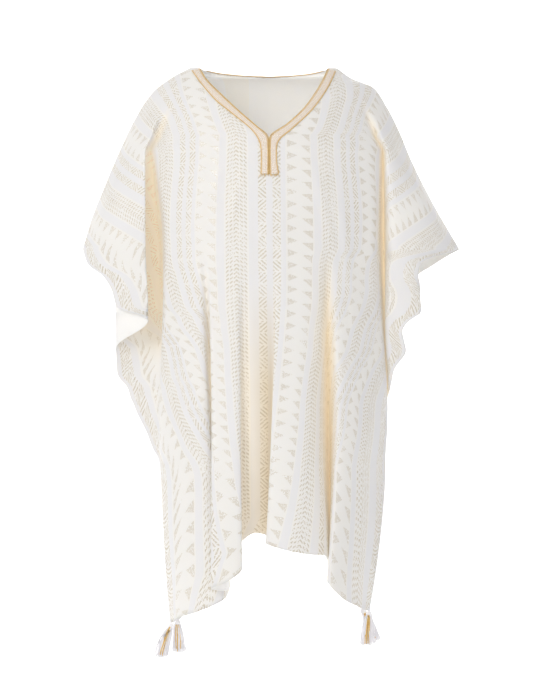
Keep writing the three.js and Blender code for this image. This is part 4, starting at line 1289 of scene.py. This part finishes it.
@dataclass(frozen=True)
class ReverseCloth:
    """The reverse of the woven cloth: plain white viscose where the pattern weft floats only faintly."""

    colour: str = "#faf9f7"
    float_thread: str = "#f3eee4"

    def material(self) -> bpy.types.Material:
        """Matte white weave with faint bands where the metallic weft is bound in behind."""
        made, tree, shader = new_material("woven_viscose_reverse")
        known = work_out(tree, cut_place(tree)[1], (
            ("u", "MULTIPLY", "across", 1000.0),
            ("v", "MULTIPLY", "down", 1000.0),
            ("u79", "ADD", "u", 79.0),
            ("place", "WRAP", "u79", REPEAT, 0.0),
            ("band0", "SUBTRACT", "place", 21.0),
            ("band1", "ABSOLUTE", "band0"),
            ("band", "LESS_THAN", "band1", 22.0),
            ("weft0", "MULTIPLY", "v", 3.927),
            ("weft", "SINE", "weft0"),
            ("float", "MULTIPLY_ADD", "weft", 0.25, 0.45),
            ("dye", "MULTIPLY", "float", "band"),
        ))
        colour = blend(tree, known["dye"], linear(self.colour), linear(self.float_thread))
        relief = {"Height": known["weft"], "Strength": 0.3, "Distance": 0.0002}
        fill(tree, shader, {
            "Base Color": colour,
            "Normal": add_node(tree, "ShaderNodeBump", relief).outputs[0],
            "Roughness": 0.8,
            "Subsurface Weight": 0.3,
            "Subsurface Radius": (1.0, 0.92, 0.8),
            "Subsurface Scale": 0.002,
            # painted glow: a faint emission stands in for light that comes in through the thin front and back
            "Emission Color": linear("#f6f2ec"),
            "Emission Strength": 0.08,
            "Sheen Weight": 0.1,
        })
        return made


@dataclass(frozen=True)
class BraidYarn:
    """Plaited cotton braid: white plaits stand in a diagonal lattice on a matte rose cream ground."""

    rose: str = "#f0dcc8"
    grain: str = "#e6cbaa"
    plait: str = "#fffdfa"

    def material(self) -> bpy.types.Material:
        """Two crossing sets of slanting waves, 6 mm long; a plait shows where both are high or both low."""
        made, tree, shader = new_material("plaited_cotton_braid")
        known = work_out(tree, cut_place(tree)[1], (
            ("u", "MULTIPLY", "across", 1000.0),
            ("v", "MULTIPLY", "down", 1000.0),
            ("sum", "MULTIPLY_ADD", "u", 1.25, "v"),
            ("gap", "MULTIPLY_ADD", "u", -1.25, "v"),
            ("sum1", "MULTIPLY", "sum", 1.05),
            ("gap1", "MULTIPLY", "gap", 1.05),
            ("sum2", "SINE", "sum1"),
            ("gap2", "SINE", "gap1"),
            ("both", "MULTIPLY", "sum2", "gap2"),
            ("dot", "GREATER_THAN", "both", 0.08),
            ("wide", "ABSOLUTE", "u"),
            ("inside", "LESS_THAN", "wide", 4.6),
            ("mark", "MULTIPLY", "dot", "inside"),
            ("tone", "MULTIPLY_ADD", "sum2", 0.3, 0.4),
            ("height", "MULTIPLY_ADD", "gap2", 0.5, "sum2"),
        ))
        ground = blend(tree, known["tone"], linear(self.rose), linear(self.grain))
        colour = blend(tree, known["mark"], ground, linear(self.plait))
        relief = {"Height": known["height"], "Strength": 0.5, "Distance": 0.0005}
        raised = add_node(tree, "ShaderNodeBump", relief).outputs[0]
        fill(tree, shader, {"Base Color": colour, "Normal": raised, "Roughness": 0.62})
        return made


@dataclass(frozen=True)
class TwistedThread:
    """A twisted thread: colour with a painted shade that turns darker in the groove between its plies."""

    name: str
    high: str
    low: str
    roughness: float
    metallic: float
    turns: float

    def material(self) -> bpy.types.Material:
        """Plies drawn as slanting bands round the thread, from its own round and along coordinates."""
        made, tree, shader = new_material(self.name)
        known = cut_place(tree)[1]
        place = add_node(tree, "ShaderNodeTexCoord").outputs["Object"]
        patch = add_node(tree, "ShaderNodeTexNoise", {"Vector": place, "Scale": 160.0, "Detail": 2.0})
        known["patch"] = patch.outputs[0]
        # painted shade: darker in the groove between plies, varied by random tone patches
        work_out(tree, known, (
            ("turn", "MULTIPLY", "across", 2000.0),
            ("run", "MULTIPLY_ADD", "down", self.turns * 1000.0, "turn"),
            ("ply", "SINE", "run"),
            ("share0", "MULTIPLY_ADD", "ply", 0.3, 0.1),
            ("share", "ADD", "share0", "patch"),
            ("groove0", "SUBTRACT", 1.0, "share"),
            ("groove", "MAXIMUM", "groove0", 0.0),
        ))
        colour = blend(tree, known["groove"], linear(self.high), linear(self.low))
        relief = {"Height": known["ply"], "Strength": 0.4, "Distance": 0.0003}
        fill(tree, shader, {
            "Base Color": colour,
            "Normal": add_node(tree, "ShaderNodeBump", relief).outputs[0],
            "Roughness": self.roughness,
            "Metallic": self.metallic,
            "Subsurface Weight": 0.0 if self.metallic else 0.4,
            "Subsurface Radius": (1.0, 0.95, 0.9),
            "Subsurface Scale": 0.003,
            # painted glow: a faint emission stands in for the light that loose strands pass on to each other
            "Emission Color": linear(self.high),
            "Emission Strength": 0.06 if self.metallic else 0.13,
        })
        return made


@dataclass(frozen=True)
class StudioPaper:
    """Matte white studio paper with a faint grain."""

    colour: str = "#f8f8f8"

    def material(self) -> bpy.types.Material:
        """Near white, fully rough, with a slight change of tone over tens of millimetres."""
        made, tree, shader = new_material("studio_paper")
        place = add_node(tree, "ShaderNodeTexCoord").outputs["Object"]
        grain = add_node(tree, "ShaderNodeTexNoise", {"Vector": place, "Scale": 8.0})
        colour = blend(tree, grain.outputs[0], linear(self.colour), linear("#f4f4f4"))
        fill(tree, shader, {"Base Color": colour, "Roughness": 0.95})
        # seen from behind, the paper lets the view through to the object
        behind = add_node(tree, "ShaderNodeNewGeometry").outputs["Backfacing"]
        clear = add_node(tree, "ShaderNodeBsdfTransparent").outputs[0]
        sided = add_node(tree, "ShaderNodeMixShader", {0: behind, 1: shader.outputs[0], 2: clear})
        fill(tree, tree.nodes["Material Output"], {"Surface": sided.outputs[0]})
        return made


@dataclass
class Finishes:
    """All finishes of the garment, made once."""

    cloth: bpy.types.Material
    reverse: bpy.types.Material
    braid: bpy.types.Material
    gold: bpy.types.Material
    yarn: bpy.types.Material

    @classmethod
    def make(cls) -> "Finishes":
        """Makes every material of the garment."""
        gold = TwistedThread("metallised_polyester_cord", "#f5d68e", "#c99c52", 0.42, 0.25, 2.2)
        yarn = TwistedThread("white_viscose_yarn", "#fbfafd", "#efecf2", 0.7, 0.0, 1.4)
        return cls(
            PatternedCloth().material(), ReverseCloth().material(), BraidYarn().material(),
            gold.material(), yarn.material(),
        )


@dataclass
class Studio:
    """White paper sweep, soft lights from the front and above, and the camera."""

    floor: float = -1450.0
    wall: float = 1500.0
    bend: float = 600.0
    half_width: float = 4200.0
    front: float = -4600.0
    centre: tuple[float, float] = (12.25, -486.5)
    distance: float = 8500.0
    pixel: float = 1.75

    def sweep(self) -> bpy.types.Object:
        """Floor that bends up into a wall: a straight, quarter-circle, straight profile drawn sideways."""
        turn = np.linspace(0, np.pi / 2, 24)
        flat = np.linspace(self.front, self.wall - self.bend, 12)[:-1]
        curve_y = self.wall - self.bend + self.bend * np.sin(turn)
        curve_z = self.floor + self.bend * (1 - np.cos(turn))
        up = np.linspace(self.floor + self.bend, 2600, 10)[1:]
        y = np.concatenate([flat, curve_y, np.full(len(up), self.wall)])
        z = np.concatenate([np.full(len(flat), self.floor), curve_z, up])
        x = np.linspace(-self.half_width, self.half_width, 13)
        grid = np.stack(np.broadcast_arrays(x[None, :], y[:, None], z[:, None]), axis=-1)
        index = np.arange(grid.shape[0] * grid.shape[1]).reshape(grid.shape[:2])
        points = grid.reshape(-1, 3)
        sheet = Surface(points, grid_faces(index, True), points[:, :2])
        paper = sheet.make("paper_sweep", [StudioPaper().material()])
        return paper

    def light(
        self, name: str, place: tuple, aim: tuple, size: tuple, power: float, colour: str,
        spread: float = 180.0,
    ) -> None:
        """Adds one soft area light.

        Args:
            name: Its name.
            place: Where it stands, in metres.
            aim: The point it faces, in metres.
            size: Width and height in metres.
            power: Power in watts.
            colour: sRGB hex colour.
            spread: Angle in degrees within which it shines.
        """
        data = bpy.data.lights.new(name, "AREA")
        data.spread = np.radians(spread)
        data.shape = "RECTANGLE"
        data.size, data.size_y = size
        data.energy = power
        data.color = linear(colour)[:3]
        lamp = bpy.data.objects.new(name, data)
        bpy.context.scene.collection.objects.link(lamp)
        lamp.location = place
        way = np.array(aim) - np.array(place)
        lamp.rotation_euler = Vector(way.tolist()).to_track_quat("-Z", "Y").to_euler()

    def build(self) -> None:
        """Sets up the paper, the lights, the room's own light, and the camera at the picture's angle."""
        self.sweep()
        self.light("key", (-2.0, -3.2, 1.2), (0, 0, -0.45), (1.6, 1.6), KEY, "#fffdf8")
        self.light("fill", (2.3, -3.2, 0.3), (0, 0, -0.5), (2.2, 2.4), FILL, "#f8faff")
        for side, sign in (("left", -1), ("right", 1)):
            place, aim = (2.2 * sign, 0.5, -0.2), (0.7 * sign, 1.5, -0.4)
            self.light(f"paper_{side}", place, aim, (0.8, 3.0), PAPER, "#ffffff", 75.0)
        scene = bpy.context.scene
        scene.view_settings.view_transform = "Standard"
        room = bpy.data.worlds.new("studio_room")
        room.use_nodes = True
        sky = room.node_tree.nodes["Background"]
        sky.inputs["Color"].default_value = linear("#fdfcfb")
        sky.inputs["Strength"].default_value = ROOM
        scene.world = room
        camera = bpy.data.objects.new("camera", bpy.data.cameras.new("camera"))
        scene.collection.objects.link(camera)
        camera.location = (self.centre[0] * MM, -self.distance * MM, self.centre[1] * MM)
        camera.rotation_euler = (np.pi / 2, 0, 0)
        camera.data.sensor_width = SENSOR
        camera.data.lens = SENSOR * self.distance / (PICTURE_HEIGHT * self.pixel)
        camera.data.clip_end = 50.0
        scene.camera = camera


def main() -> None:
    """Builds every piece in order and reports the frame, the front braids and the tassels."""
    logging.basicConfig(level=logging.INFO, format="%(name)s: %(message)s")
    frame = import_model()
    LOG.info("frame with %d nodes", len(frame["nodes"]))
    finishes = Finishes.make()
    front = Panel(
        "front_panel", Facing.FRONT, LEFT_SLEEVE, FRONT_BODY, RIGHT_SLEEVE, LEFT_EDGE, RIGHT_EDGE,
        LEFT_NECK, RIGHT_NECK,
        neck_depth=126.0,
        cut_neck_drop=164.0,
        reach_marks=(4, 10, 26, 53, 84, 107, 126, 150),
        reaches=(1.5, 18, 40, 67, 91, 104, 112, 118),
        plain_reach=(118, 124, 124, 124, 118),
        creases=FRONT_CREASES,
    )
    back = Panel(
        "back_panel", Facing.BACK, BACK_LEFT_SLEEVE, BACK_BODY, BACK_RIGHT_SLEEVE, BACK_LEFT_EDGE,
        BACK_RIGHT_EDGE, BACK_LEFT_NECK, BACK_RIGHT_NECK,
        neck_depth=18.0,
        cut_neck_drop=20.0,
        reach_marks=(4, 6, 9, 12, 18, 40, 84, 150),
        reaches=(1.5, 17, 34, 46, 60, 80, 100, 112),
        plain_reach=(112, 112, 112, 112, 112),
        creases=BACK_CREASES,
        inner_side=front,
    )
    for panel in (front, back):
        panel.build(finishes)
    trims: dict[str, list[bpy.types.Object]] = {"front_panel": [], "back_panel": []}
    for name, rows in (("neck_braid_left", LEFT_BRAID), ("neck_braid_right", RIGHT_BRAID)):
        trims["front_panel"] += NeckBraid(name, rows, front).build(finishes)
        LOG.info("%s", name)
    trims["back_panel"] += BackNeckBraid("neck_braid_back", back).build(finishes)
    for name, panel, end, fall, spread, seed in (
        ("tassel_front_left", front, 0, (-17.0, -6.0), 14.0, 3),
        ("tassel_back_left", back, 0, (3.0, 10.0), 14.0, 14),
        ("tassel_front_right", front, 1, (-3.0, -7.0), 15.0, 22),
        ("tassel_back_right", back, 1, (19.0, 10.0), 14.0, 9),
    ):
        corner = panel.hem_corner(end) + np.array([1.0 - 2 * end, 0.0, -0.45])
        trims[panel.name] += Tassel(name, corner, fall, spread, seed).build(finishes)
        LOG.info("%s", name)
    Studio().build()
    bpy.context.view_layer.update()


if __name__ == "__main__":
    main()
